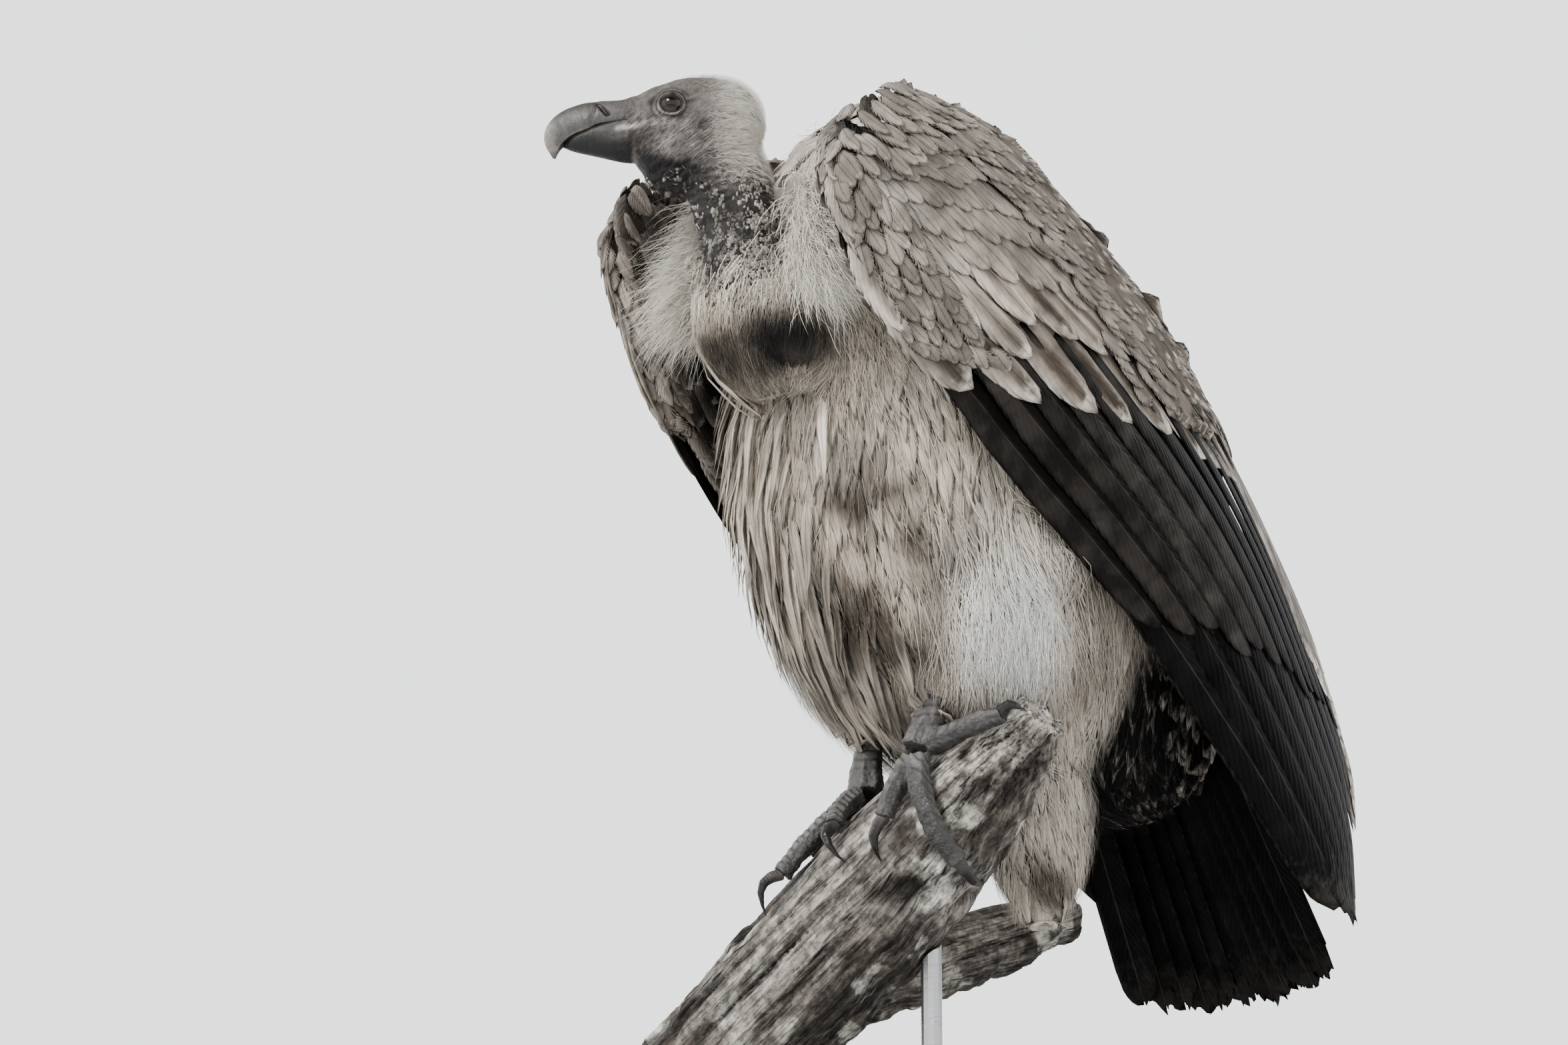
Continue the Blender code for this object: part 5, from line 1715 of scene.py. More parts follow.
def wing_sheet(side):
    """A function that finds places and normals on one folded wing's outer or inner face.

    Across runs from 0 at the leading edge to 1 at the trailing one; down runs along the body.
    """
    sign = 1 if side == "left" else -1
    shares = np.linspace(0, 1, 41)
    rows, edges, faces = wing_grids(side, sign, shares)

    def read(across, down, face_name):
        row = np.clip(np.interp(down, rows, np.arange(len(rows))), 0, len(rows) - 1.001)
        column = np.clip(across, 0, 1) * (len(shares) - 1.001)
        i, j = row.astype(int), column.astype(int)
        u, v = row - i, column - j
        sheet = faces[face_name]
        x = ((sheet[i, j] * (1 - v) + sheet[i, j + 1] * v) * (1 - u)
             + (sheet[i + 1, j] * (1 - v) + sheet[i + 1, j + 1] * v) * u)
        lead = edges[i, 0] * (1 - u) + edges[i + 1, 0] * u
        trail = edges[i, 1] * (1 - u) + edges[i + 1, 1] * u
        back = lead + (trail - lead) * across
        spots = CORE + np.asarray(down)[..., None] * DOWN + back[..., None] * BACK
        return spots + x[..., None] * np.array([1.0, 0, 0])

    def find(across, down, depth, face_name="outer"):
        """Points under the chosen face by the depth, and the face's outward normals there."""
        along = read(across, down + 0.006, face_name) - read(across, down - 0.006, face_name)
        over = read(across + 0.02, down, face_name) - read(across - 0.02, down, face_name)
        normal = unit(np.cross(along, over)) * (-sign if face_name == "outer" else sign)
        flip = np.sign(normal[..., :1] * (sign if face_name == "outer" else -sign))
        normal = normal * np.where(flip == 0, 1, flip)
        return read(across, down, face_name) - normal * np.asarray(depth)[..., None], normal

    return find


def covert_tips(across):
    return -0.063 + 0.262 * across ** 1.05


def covert_top(across):
    return -0.246 + 0.085 * across ** 1.5


def flight_tips(across):
    return 0.130 + 0.205 * across ** 0.8


def covert_places():
    """Across, tip, length, width, depth and row of every covert, wrist first."""
    steps = 12
    grow = np.cumsum(np.geomspace(1.0, 21.0, steps))
    shares = grow / grow[-1]
    spans = np.diff(np.concatenate([[0], shares]))
    across_all, tip_all, length_all, width_all, depth_all, row_all = [], [], [], [], [], []
    for number, (share, span) in enumerate(zip(shares, spans)):
        chord = 0.20 + 0.12 * share
        width = 0.0105 + 0.0262 * share ** 1.3
        count = int(chord / (width * (0.60 + 0.16 * (share > 0.85))))
        across = (np.arange(count) + 0.5 * (number % 2) + LUCK.uniform(-0.16, 0.16, count)) / (count - 0.5)
        across = np.clip(across, 0.005, 0.995)
        reach = covert_tips(across) - covert_top(across)
        tip = covert_top(across) + reach * share + LUCK.normal(0, 0.14, count) * reach * span
        across_all.append(across)
        tip_all.append(tip)
        length_all.append(np.clip(reach * span * 2.2, 0.024, 0.120) * LUCK.uniform(0.9, 1.1, count))
        width_all.append(width * (0.82 + 0.34 * across) * LUCK.uniform(0.88, 1.12, count))
        depth_all.append(np.full(count, 0.0005 + 0.0004 * (number % 2)))
        row_all.append(np.full(count, share))
    lists = (across_all, tip_all, length_all, width_all, depth_all, row_all)
    return [np.concatenate(values) for values in lists]


def covert_rows(find, side, finish):
    """Rows of rounded coverts over the arm, small at the wrist and long over the quills."""
    across, tip, length, width, depth, row = covert_places()
    order = np.argsort(-row, kind="stable")
    order = order[tip[order] > -0.208]
    across, tip, length, width, depth, row = (v[order] for v in (across, tip, length, width, depth, row))
    rows = 10
    t = vane_outline(rows, 0.35, False)[0]
    length = np.minimum(length, tip - covert_top(across) - 0.012)
    kept = length > 0.014
    across, tip, length, width, depth, row = (v[kept] for v in (across, tip, length, width, depth, row))
    downs = tip[:, None] - length[:, None] * (1 - t[None, :])
    slant = 0.045 * (1 - across) * length / 0.06
    places = across[:, None] + slant[:, None] * (t[None, :] - 1) * 0.6
    sink = (0.0064 - 0.0052 * t)[None, :] + depth[:, None] + LUCK.uniform(0, 0.0014, (len(across), 1))
    spines, normals = find(np.clip(places, 0.0, 1.0), downs, sink)
    roll = shingle(side) * LUCK.normal(0.05, 0.03, (len(across), 1, 1)) * (0.4 + row)[:, None, None]
    sideways = unit(np.cross(np.gradient(spines, axis=1), normals))
    normals = unit(normals + roll * sideways)
    tan = mixed(COVERT_TOP, COVERT_TAN, ease(row, 0.25, 0.75))
    blotch = rough(spines[:, -1], 0.035, 2, 111)
    tan = mixed(tan, HEART_BROWN, np.clip(ease(row, 0.75, 1.0) * 0.45 + 0.25 * blotch, 0, 0.8))
    tan = mixed(tan, CREAM, 0.18 * ease(0.30 - across, 0.0, 0.2))
    tan = tan * LUCK.uniform(0.82, 1.15, (len(across), 1))
    patchy = 1 + 0.30 * rough(spines, 0.026, 3, 113)[..., None]
    tones = np.repeat(tan[:, None], rows, axis=1) * patchy
    marks = np.stack([0.12 + 0.60 * ease(row, 0.4, 0.9) * LUCK.uniform(0.5, 1.1, len(across)),
                      np.clip(0.10 + 1.00 * ease(row, 0.40, 0.9) * LUCK.uniform(0.7, 1.2, len(across)), 0, 1),
                      np.full(len(across), 1.0)], axis=-1)
    vanes(f"coverts_{side}", spines, normals, width, tones, marks, finish, "plumage", columns=4,
          ragged=0.035, tip=0.42, camber=0.18, thick=0.0006, mirror=side == "right")


def edge_feathers(side, finish):
    """Small feathers that wrap the arm's leading and trailing edges and its top."""
    shell = voxel_mesh([f"wing_{side}_coverts"], 0.0, 0.0050)
    set_points(shell, relaxed(points_of(shell), edges_of(shell), 4))
    points, triangles, nearest = surface_of(shell)
    normals = nearest(points[triangles].mean(axis=1))[1]
    share = ease(np.abs(normals @ BACK), 0.30, 0.60) + ease(-normals @ DOWN, 0.25, 0.55)
    low = in_body(points[triangles].mean(axis=1))[:, 1]
    share = np.clip(share, 0, 1) * (normals @ DOWN < 0.15) * (low < 0.030)
    roots = scattered(points, triangles, 4200, lambda places: share)
    rear = ease(in_body(roots)[:, 2], 0.02, 0.08)
    roots = roots[spaced(roots, 0.0078 + 0.0070 * rear)]
    rear = ease(in_body(roots)[:, 2], 0.02, 0.08)
    length = (0.024 + 0.026 * rear) * LUCK.uniform(0.8, 1.2, len(roots))

    def flow(spots, fronts):
        return unit(along_skin(DOWN + 0.15 * BACK, fronts))

    paths, fronts = laid(roots, nearest, length, 8, -0.0030, 0.0012, flow, 0.12)
    order = ordered(paths)
    order = order[unbent(paths, length)[order]]
    paths, fronts, rear = paths[order], fronts[order], rear[order]
    tone = mixed(COVERT_TOP * 1.1, HEART_BROWN * 1.2, rear * 0.8) * LUCK.uniform(0.7, 1.3, (len(rear), 1))
    marks = np.stack([0.25 + 0.35 * rear, 0.15 + 0.4 * rear, np.ones(len(rear))], axis=-1)
    widths = (0.0125 + 0.009 * rear) * LUCK.uniform(0.85, 1.15, len(rear))
    vanes(f"edge_feathers_{side}", paths, fronts, widths, np.repeat(tone[:, None], 8, axis=1), marks,
          finish, "plumage", columns=3, ragged=0.04, tip=0.42, camber=0.35)


def arm_core(find, side):
    """The arm inside the wing: a smooth closed slab that fills the space between its feathers."""
    across = np.linspace(0.05, 0.96, 24)
    steps = np.linspace(0.0, 1.0, 30)
    start, end = -0.225 + 0.070 * across, covert_tips(across) - 0.045
    downs = start[None] + (end - start)[None] * steps[:, None]
    places = np.broadcast_to(across[None], downs.shape)
    outer, _ = find(places, downs, np.full(downs.shape, 0.0078))
    inner, _ = find(places, downs, np.full(downs.shape, 0.0045), "inner")
    gap = np.sum((outer - inner) * [1.0, 0, 0], axis=-1) * (1 if side == "left" else -1)
    middle = (outer + inner) / 2
    half = np.maximum(gap, 0.0012)[..., None] / 2 * np.array([1.0 if side == "left" else -1.0, 0, 0])
    outer, inner = middle + half, middle - half
    rows, columns = downs.shape
    index = np.arange(rows * columns).reshape(rows, columns)
    ring = [index[0, :-1], index[:-1, -1], index[-1, :0:-1], index[:0:-1, 0]]
    ring = np.concatenate(ring)
    after = np.roll(ring, -1)
    shift = rows * columns
    top = np.stack([index[:-1, :-1], index[1:, :-1], index[1:, 1:], index[:-1, 1:]], axis=-1).reshape(-1, 4)
    low = top[:, ::-1] + shift
    wall = np.stack([ring, after, after + shift, ring + shift], axis=-1)
    quads = np.concatenate([top, low, wall])
    if side == "right":
        quads = quads[:, ::-1]
    mesh = built_mesh(f"arm_{side}", np.concatenate([outer.reshape(-1, 3), inner.reshape(-1, 3)]), quads)
    # The slab takes the coverts' colour dimmed to 0.40: painted shade for the gaps between the feathers,
    # where it shows.
    paint(mesh, "tone", all_over(COVERT_TOP * 0.40, len(mesh.vertices)))
    placed(f"arm_{side}", mesh, down_finish(f"arm_down_in_shade_{side}"), "plumage", f"wing_{side}_coverts")


def shingle(side):
    """Which way a quill leans so that each inner one laps over its outer neighbour."""
    return -1.0 if side == "left" else 1.0


def lining_rows(find, side, finish):
    """The small mottled feathers on the inner face of the arm."""
    across_all, tip_all = [], []
    for tip in np.arange(-0.205, 0.115, 0.015):
        count = 12
        across_all.append(np.clip((np.arange(count) + LUCK.uniform(0.2, 0.8, count)) / count, 0.10, 0.96))
        tip_all.append(tip + LUCK.normal(0, 0.004, count))
    across, tip = np.concatenate(across_all)[::-1], np.concatenate(tip_all)[::-1]
    length = np.minimum(LUCK.uniform(0.036, 0.048, len(across)), tip - covert_top(across) - 0.006)
    kept = length > 0.012
    across, tip, length = across[kept], tip[kept], length[kept]
    rows = 9
    t = vane_outline(rows, 0.4, False)[0]
    downs = tip[:, None] - length[:, None] * (1 - t[None, :])
    sink = np.broadcast_to((0.0040 - 0.0030 * t)[None, :], downs.shape)
    spines, normals = find(np.repeat(across[:, None], rows, axis=1), downs, sink, "inner")
    blotch = rough(spines[:, -1], 0.030, 2, 117)
    tone = mixed(np.array([0.045, 0.038, 0.032]), CREAM * 0.60, np.clip(0.10 + 1.2 * blotch, 0, 1))
    tone = mixed(tone, COVERT_TAN, 0.5 * ease(0.14 - across, 0.0, 0.1))
    tones = np.repeat((tone * LUCK.uniform(0.6, 1.2, (len(across), 1)))[:, None], rows, axis=1)
    marks = np.stack([LUCK.uniform(0.2, 0.6, len(across)), LUCK.uniform(0.2, 0.8, len(across)),
                      np.ones(len(across))], axis=-1)
    vanes(f"lining_{side}", spines, normals, LUCK.uniform(0.020, 0.027, len(across)), tones, marks,
          finish, "plumage", columns=3, ragged=0.05, tip=0.42)


def quill_set(find, side, name, finish, quills, replaced, ragged):
    """Long quills laid under the wing's outer face, each from a dictionary of its own values."""
    rows = 30
    t = vane_outline(rows, 0.14, False)[0]
    data = {key: np.array([quill[key] for quill in quills]) for key in quills[0]}
    places = data["root_across"][:, None] + (data["tip_across"] - data["root_across"])[:, None] * t ** 1.1
    downs = data["root_down"][:, None] + (data["tip_down"] - data["root_down"])[:, None] * t
    sink = data["root_depth"][:, None] + (data["tip_depth"] - data["root_depth"])[:, None] * t ** 0.6
    spines, normals = find(np.clip(places, 0, 1), downs, sink)
    sideways = unit(np.cross(np.gradient(spines, axis=1), normals))
    normals = unit(normals + shingle(side) * data["roll"][:, None, None] * sideways)
    wave = LUCK.normal(0, 1, (len(quills), 1, 1)) * np.sin(t * 7)[None, :, None] * 0.0006
    spines = spines + wave * sideways
    tones = np.repeat(data["tone"][:, None], rows, axis=1)
    mottle = np.clip(1 + 0.55 * rough(spines, 0.011, 3, 121), 0.30, 1.6)[..., None]
    vanes(f"{name}_{side}", spines, normals, data["width"], tones * mottle, data["marks"], finish, "quills",
          replaced, columns=8, ragged=ragged, tip=0.14, camber=0.26, thick=0.0008, mirror=side == "right")


def quill(root_across, tip_across, root_down, tip_down, width, depths, tone, marks, roll):
    return {"root_across": root_across, "tip_across": tip_across, "root_down": root_down,
            "tip_down": tip_down, "width": width, "root_depth": depths[0], "tip_depth": depths[1],
            "tone": np.asarray(tone), "marks": np.asarray(marks), "roll": roll}


def make_quills(find, side, finish):
    """Black hand quills at the bottom, mottled arm quills over them and pale-edged inner ones."""
    hand, arm, frayed = [], [], []
    for number in range(10):
        share = number / 9
        tip = 0.428 - 0.050 * abs(share - 0.42) - 0.05 * LUCK.random() * (number > 6)
        root = 0.06 + 0.80 * share
        hand.append(quill(root, 0.08 + 0.80 * share, 0.02 + 0.10 * share, tip, 0.032,
                          (0.0088 - 0.0004 * number, 0.0030), QUILL_BLACK * LUCK.uniform(0.7, 1.4),
                          (0.03, 0.0, 0.6, 0.0), 0.12))
    for number in range(14):
        share = number / 13
        root = 0.03 + 0.88 * share
        start = covert_tips(root) - 0.070
        tip = flight_tips(root) + LUCK.normal(0, 0.008)
        dark = float(ease(root, 0.36, 0.46))
        tone = QUILL_GREY * (1 - dark) + QUILL_BLACK * 1.3 * dark
        arm.append(quill(root, root + 0.03, start, tip, 0.0270, (0.0074 - 0.0003 * number, 0.0024),
                         tone * LUCK.uniform(0.7, 1.25), (0.0, 0.20, 1.0, 1.0), 0.14))
    for number in range(9):
        share = number / 8
        root = 0.72 + 0.27 * share
        start = covert_tips(root) - 0.060
        tip = 0.255 + 0.050 * math.sin(share * 2.8) + LUCK.normal(0, 0.010)
        arm.append(quill(root, min(root + 0.02, 0.995), start, tip, 0.023,
                         (0.0042 - 0.00015 * number, 0.0012), COVERT_TOP * LUCK.uniform(0.5, 1.0),
                         (0.95, 0.60, 1.0, 0.45), 0.12))
    for number in range(5):
        root = 0.90 + 0.022 * number
        frayed.append(quill(root, root + 0.004, 0.150, 0.330 + 0.016 * number + LUCK.normal(0, 0.006), 0.026,
                            (0.0050, 0.0016), COVERT_TAN * LUCK.uniform(0.35, 0.75),
                            (0.35, 0.2, 1.0, 0.2), 0.05))
    quill_set(find, side, "hand_quills", finish, hand, (f"wing_{side}_primaries",), 0.10)
    quill_set(find, side, "arm_quills", finish, arm, (f"wing_{side}_secondaries",), 0.035)
    quill_set(find, side, "frayed_quills", finish, frayed, (), 0.09)


def make_wings():
    covert = vane_finish("covert_feather", 0.62, 46.0, 0.45, 0.34, 0.30)
    flight = vane_finish("flight_feather", 0.50, 190.0, 0.12, 0.16, 0.45)
    for side in ("left", "right"):
        find = wing_sheet(side)
        arm_core(find, side)
        covert_rows(find, side, covert)
        edge_feathers(side, covert)
        lining_rows(find, side, covert)
        make_quills(find, side, flight)
    return flight


# ---------------------------------------------------------------- tail

def make_tail(finish):
    """Twelve worn black tail feathers, the middle pair on top."""
    rows = 34
    t = vane_outline(rows, 0.10, False)[0]
    roll = math.radians(10.0)
    spines, normals, widths = [], [], []
    for number in sorted(range(12), key=lambda n: -abs(n - 5.5)):
        across = (number - 5.5) / 5.5
        half = 0.054 + 0.020 * t
        layer = 0.0045 * abs(across)
        end = 0.474 - 0.020 * across ** 2 - LUCK.uniform(0, 0.010)
        down = 0.190 + (end - 0.190) * t
        x = across * half - 0.006
        back = 0.074 - 0.030 * t - 0.010 * across ** 2 - layer
        turned = CORE + down[:, None] * DOWN
        side = math.cos(roll) * np.array([1.0, 0, 0]) + math.sin(roll) * BACK
        out = -math.sin(roll) * np.array([1.0, 0, 0]) + math.cos(roll) * BACK
        spines.append(turned + x[:, None] * side + back[:, None] * out)
        normals.append(np.repeat((out + 0.10 * across * side)[None], rows, axis=0))
        widths.append(0.030)
    spines, normals = np.array(spines), unit(np.array(normals))
    tones = np.repeat(QUILL_BLACK[None, None] * LUCK.uniform(0.8, 1.8, (12, 1, 1)), rows, axis=1)
    marks = np.tile([0.012, 0.0, 0.7], (12, 1))
    vanes("tail_feathers", spines, normals, np.array(widths), tones, marks, finish, "quills", ("tail",),
          columns=8, ragged=0.11, tip=0.10, camber=0.12, thick=0.0009)


# ---------------------------------------------------------------- feet

FOOT_VOXEL = 0.0012
FOOT_SWELL = 0.0004               # so that shank and toes meet; taken off again
CLAW_VOXEL = 0.0009
TOES = ("inner", "middle", "outer", "hind")

def foot_middle(side):
    box = np.array(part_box(f"tarsus_{side}"))
    return np.array([box[:, 0].mean(), box[:, 1].mean(), box[0, 2]])


def foot_finish():
    """Scaly dark skin: plates where painted, small scales elsewhere."""
    finish, tree, shader = new_finish("scaly_foot")
    tone = painted(tree, "tone").outputs["Color"]
    cells = node(tree, "TexVoronoi", {"Vector": object_place(tree), "Scale": 420.0}).outputs["Distance"]
    grain = speckle(tree, 0.003, 4.0)
    plates = painted(tree, "plates").outputs["Fac"]
    scale_height = times(tree, math_of(tree, "SUBTRACT", 0.8, cells),
                          math_of(tree, "SUBTRACT", 1.0, plates))
    shade = plus(tree, ramp(tree, grain, 0.3, 0.7, 0.68, 1.12),
                   ramp(tree, scale_height, 0.2, 0.7, -0.22, 0.16))
    tree.links.new(shaded(tree, tone, shade), shader.inputs["Base Color"])
    first = bumped(tree, scale_height, 0.0007)
    tree.links.new(bumped(tree, grain, 0.0004, below=first), shader.inputs["Normal"])
    tree.links.new(ramp(tree, grain, 0.3, 0.7, 0.48, 0.68), shader.inputs["Roughness"])
    return finish


def foot_plates(points, normals, middle):
    """How far each point faces up on a toe or forward on the shank, and its plates' heights."""
    away = points - middle
    reach = np.linalg.norm(away * [1, 1, 0.8], axis=1)
    low = 1 - ease(away[:, 2], 0.012, 0.026)
    upward = ease(normals[:, 2], 0.10, 0.45) * low * ease(reach, 0.012, 0.022)
    wave = (reach + 0.0010 * noise(points, 0.010, 131)) / 0.0046
    step = wave - np.floor(wave)
    plate = np.clip(np.minimum(step * 5.0, (1 - step) * 1.6 + 0.25), 0, 1)
    shank = 1 - low
    front = ease(normals[:, 0] * 0.5 - normals[:, 1], 0.2, 0.6) * shank
    ring = away[:, 2] / 0.0062
    ring = ring - np.floor(ring)
    shank_plate = np.clip(np.minimum(ring * 5.0, (1 - ring) * 5.0), 0, 1)
    return upward, plate, front, shank_plate


def make_feet():
    """Toes and shanks, with wide plates over the toes and down the front of the shank."""
    finish = foot_finish()
    for side in ("left", "right"):
        toes = [f"toe_{side}_{which}" for which in TOES]
        names = [f"tarsus_{side}"] + toes
        mesh = voxel_mesh(names, FOOT_SWELL, FOOT_VOXEL)
        points = relaxed(points_of(mesh), edges_of(mesh), 4)
        set_points(mesh, points)
        normals = normals_of(mesh)
        points = points - normals * FOOT_SWELL
        upward, plate, front, shank_plate = foot_plates(points, normals, foot_middle(side))
        bumps = rough(points, 0.004, 2, 133)
        height = 0.0009 * (plate - 1) * upward + 0.0007 * (shank_plate - 1) * front
        height = height + 0.00070 * bumps * (1 - 0.6 * upward)
        set_points(mesh, points + normals * height[:, None])
        mesh.shade_smooth()
        dark = np.array([0.036, 0.0325, 0.030])
        tone = all_over(dark, len(points)) * (1 + 0.60 * rough(points, 0.007, 3, 137)[:, None])
        pale = upward * plate * (0.55 + 0.45 * noise(points, 0.016, 139))
        tone = mixed(tone, [0.27, 0.245, 0.22], np.clip(pale, 0, 1) * 0.75)
        tone = mixed(tone, [0.13, 0.118, 0.106], front * shank_plate * 0.55)
        groove = np.maximum((1 - plate) * upward, (1 - shank_plate) * front)
        tone = mixed(tone, SKIN_DARK * 0.6, np.clip(groove, 0, 1) * 0.8)
        paint(mesh, "tone", tone)
        share = np.clip(upward + front, 0, 1)
        paint(mesh, "plates", np.repeat(share[:, None], 3, axis=1))
        placed(f"foot_{side}", mesh, finish, "leg_skin", *names)


def softened(name, rounds):
    """A copy of a CAD node with its facets rounded off."""
    mesh = voxel_mesh([name], 0.0, CLAW_VOXEL)
    set_points(mesh, relaxed(points_of(mesh), edges_of(mesh), rounds))
    mesh.shade_smooth()
    return mesh


def make_claws():
    finish = horn_finish("claw_horn", 0.30)
    for side in ("left", "right"):
        for which in TOES:
            name = f"claw_{side}_{which}"
            mesh = softened(name, 6)
            points = points_of(mesh)
            away = np.linalg.norm(points - foot_middle(side), axis=1)
            t = (away - away.min()) / max(float(np.ptp(away)), 1e-6)
            tone = mixed(np.array([0.060, 0.054, 0.048]), np.array([0.014, 0.012, 0.011]), ease(t, 0.0, 0.6))
            paint(mesh, "tone", tone * (1 + 0.25 * rough(points, 0.005, 3, 141))[:, None])
            add_map(mesh, "grain", np.stack([points[:, 0] * 20, t], axis=-1))
            paint(mesh, "soft", np.zeros((len(points), 3)))
            comb(mesh, points, np.zeros(len(points)))
            placed(f"{name}_horn", mesh, finish, "horn", name)


# ---------------------------------------------------------------- the limb

LIMB = ((-0.206, -0.064, 0.160), (-0.150, -0.050, 0.207), (-0.095, -0.032, 0.254), (-0.043, -0.019, 0.297),
        (0.004, -0.014, 0.334), (0.040, -0.012, 0.362), (0.068, -0.008, 0.385), (0.096, -0.002, 0.408))
FORK = ((-0.105, -0.022, 0.246), (-0.082, 0.030, 0.258), (-0.072, 0.085, 0.274), (-0.074, 0.140, 0.290),
        (-0.082, 0.200, 0.308))


def along_line(points, line):
    """Distance along a bent line, distance from it, and the arm from its nearest spot."""
    line = np.array(line)
    best = np.full(len(points), 9.0)
    length = np.zeros(len(points))
    arms = np.zeros_like(points)
    passed = 0.0
    for start, end in zip(line[:-1], line[1:]):
        span = np.linalg.norm(end - start)
        way = (end - start) / span
        t = np.clip((points - start) @ way, 0, span)
        arm = points - start - t[:, None] * way
        far = np.linalg.norm(arm, axis=1)
        nearer = far < best
        best = np.where(nearer, far, best)
        length = np.where(nearer, passed + t, length)
        arms = np.where(nearer[:, None], arm, arms)
        passed += span
    return length, best, arms


def limb_frame(points):
    """Length along the limb, which points are on the fork, and places as if all were straight."""
    main_length, main_far, main_arms = along_line(points, LIMB)
    fork_length, fork_far, fork_arms = along_line(points, FORK)
    on_fork = (fork_far < main_far * 0.85) & (fork_length > 0.012)
    length = np.where(on_fork, fork_length + 0.7, main_length)
    arms = np.where(on_fork[:, None], fork_arms, main_arms)
    axis = unit(np.array(LIMB[-1]) - np.array(LIMB[0]))
    fork_axis = unit(np.array(FORK[-1]) - np.array(FORK[1]))
    way = np.where(on_fork[:, None], fork_axis, axis)
    first = unit(np.cross(way, UP))
    second = np.cross(first, way)
    straight = np.stack([np.sum(arms * first, axis=1), np.sum(arms * second, axis=1), length], axis=-1)
    return main_length, on_fork, straight


def make_limb():
    mesh = voxel_mesh(["perch"], 0.0, 0.0023)
    points = relaxed(points_of(mesh), edges_of(mesh), 6)
    set_points(mesh, points)
    normals = normals_of(mesh)
    main_length, on_fork, straight = limb_frame(points)
    stretched = straight * [1.0, 1.0, 0.10]
    ribs = rough(stretched, 0.0085, 3, 151)
    cracks = noise(straight * [1.0, 1.0, 0.055], 0.0100, 157)
    crack = ridge(cracks, 0.085) * ease(noise(points, 0.050, 159), -0.25, 0.25)
    upper = ease(normals[:, 2], -0.30, 0.35)
    bark_and_under_shade = ease(noise(points, 0.040, 163) + 0.9 * (0.30 - main_length) / 0.30 - 0.55 * upper, 0.05, 0.45)
    # From here the mask holds both the dark bark patches and painted shade on the limb's downward faces.
    bark_and_under_shade = np.maximum(bark_and_under_shade, 0.8 * ease(-normals[:, 2], 0.15, 0.6))
    knobs = rough(points, 0.014, 4, 167)
    hollow = lump(points, [0.014, -0.052, 0.296], [0.026, 0.016, 0.012])
    ragged = lump(points, [0.030, -0.030, 0.300], [0.030, 0.035, 0.016])
    push = 0.0016 * ribs - 0.0036 * crack + bark_and_under_shade * 0.0030 * knobs - 0.0105 * hollow
    push += ragged * 0.0035 * rough(points, 0.007, 3, 171)
    end = ease(main_length, 0.365, 0.405) * (~on_fork)
    push += end * 0.0030 * rough(straight * [1, 1, 0.2], 0.005, 2, 173)
    push = np.minimum(push - 0.0008, 0.0014)
    gripped = np.ones(len(points))
    for side in ("left", "right"):
        gripped *= 1 - 0.8 * lump(points, foot_middle(side) - [0, 0, 0.010], np.array([0.05, 0.05, 0.03]))
    set_points(mesh, points + normals * (push * gripped)[:, None])
    mesh.shade_smooth()
    silver = np.array([0.17, 0.153, 0.133])
    tone = all_over(silver, len(points))
    tone = tone * np.clip(1 + 0.85 * rough(stretched, 0.009, 3, 177), 0.25, 2.2)[:, None]
    tone = mixed(tone, [0.52, 0.48, 0.42], 0.7 * ease(main_length, 0.28, 0.37) * upper * (~on_fork))
    # Dark bark, and painted shade on the downward faces.
    tone = mixed(tone, [0.034, 0.028, 0.023], np.clip(bark_and_under_shade * (0.85 + 0.3 * knobs), 0, 0.95))
    lichen = ease(rough(points, 0.018, 3, 179), 0.28, 0.55) * (0.25 + 0.75 * bark_and_under_shade)
    tone = mixed(tone, [0.46, 0.45, 0.39], lichen * 0.65)
    tone = mixed(tone, [0.58, 0.55, 0.49], np.clip(ragged * (0.6 + knobs), 0, 0.8))
    tone = mixed(tone, [0.020, 0.016, 0.013], np.clip(hollow * 1.4, 0, 0.96))
    tone = mixed(tone, [0.035, 0.028, 0.022], np.clip(crack * 0.9, 0, 0.85))
    paint(mesh, "tone", tone)
    store(mesh, "straight", "FLOAT_VECTOR", "vector", straight)
    placed("dead_limb", mesh, wood_finish(), "wood", "perch")


# ---------------------------------------------------------------- stand, room and camera

def finish_stand():
    board, steel = board_finish(), steel_finish()
    for name in ("stand_base", "stand_rod_1", "stand_rod_2"):
        for place in NODES[name].material_slots:
            place.material = board if name == "stand_base" else steel


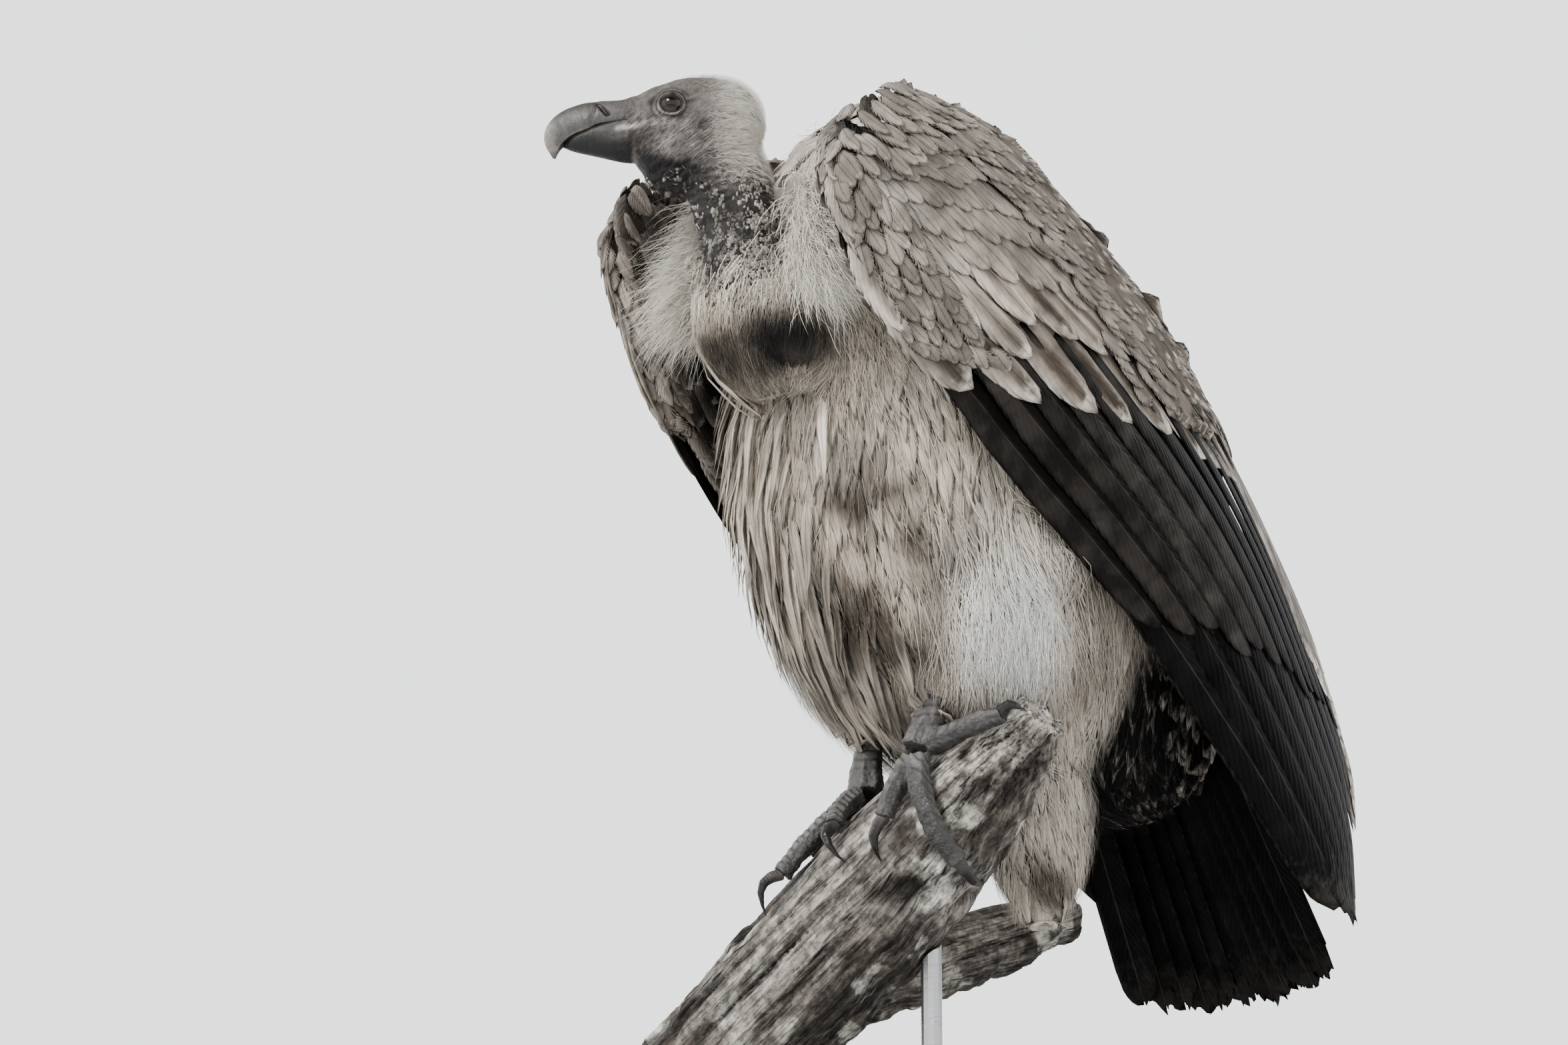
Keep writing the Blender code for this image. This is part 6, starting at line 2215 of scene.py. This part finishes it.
def make_room():
    """A flat pale floor under a bright, even room that darkens a little overhead."""
    finish, tree, shader = new_finish("pale_paper")
    tone = ramp(tree, speckle(tree, 0.4, 2.0), 0.3, 0.7, 0.80, 0.84)
    grey = node(tree, "CombineColor", {0: tone, 1: tone, 2: tone}).outputs[0]
    tree.links.new(grey, shader.inputs["Base Color"])
    shader.inputs["Roughness"].default_value = 0.9
    shape = bmesh.new()
    bmesh.ops.create_grid(shape, x_segments=24, y_segments=24, size=6.0)
    mesh = bpy.data.meshes.new("floor")
    shape.to_mesh(mesh)
    shape.free()
    mesh.materials.append(finish)
    in_scene("floor", mesh)
    world = bpy.data.worlds.new("room")
    world.use_nodes = True
    tree = world.node_tree
    height = node(tree, "SeparateXYZ", {0: node(tree, "TexCoord").outputs["Generated"]}).outputs[2]
    glow = ramp(tree, height, 0.42, 0.80, 2.30, 0.26)
    tree.links.new(glow, tree.nodes["Background"].inputs[1])
    tree.nodes["Background"].inputs[0].default_value = (0.97, 0.985, 1.0, 1.0)
    bpy.context.scene.world = world


def soft_light(name, spot, aim, size, power):
    data = bpy.data.lights.new(name, "AREA")
    data.shape = "SQUARE"
    data.size = size
    data.energy = power
    lamp = in_scene(name, data)
    lamp.location = spot
    lamp.rotation_euler = (Vector(aim) - Vector(spot)).to_track_quat("-Z", "Y").to_euler()


def make_lights():
    aim = (-0.02, -0.02, 0.55)
    soft_light("key", (0.3, -2.3, 2.6), aim, 0.8, 120.0)
    soft_light("rim", (0.6, 2.2, 2.2), aim, 1.0, 24.0)
    soft_light("left", (-2.4, -0.8, 1.6), aim, 1.4, 14.0)


AIM = np.array([-0.07, -0.075, 0.55])
AZIMUTH, ELEVATION, REACH = math.radians(48.0), math.radians(-12.5), 2.35
LENS = 80.83


def make_camera():
    back = np.array([math.sin(AZIMUTH) * math.cos(ELEVATION), -math.cos(AZIMUTH) * math.cos(ELEVATION),
                     math.sin(ELEVATION)])
    data = bpy.data.cameras.new("camera")
    data.lens = LENS
    data.sensor_width = 36.0
    data.clip_start = 0.05
    camera = in_scene("camera", data)
    camera.location = AIM + REACH * back
    camera.rotation_euler = Vector(-back).to_track_quat("-Z", "Y").to_euler()
    bpy.context.scene.camera = camera


# ---------------------------------------------------------------- making it all


make_camera()
make_lights()
make_room()
wing_tree, _ = tree_of([name for name in NODES if name.startswith("wing_")])
skin = make_skin(make_bill(), wing_tree)
body_surface = surface_of(skin.data)
body_feathers(body_surface, wing_tree)
body_wisps(body_surface, wing_tree)
make_ruff()
make_wool_clumps(skin)
make_neck_down(body_surface)
make_tail(make_wings())
make_eyes()
make_feet()
make_claws()
make_limb()
finish_stand()
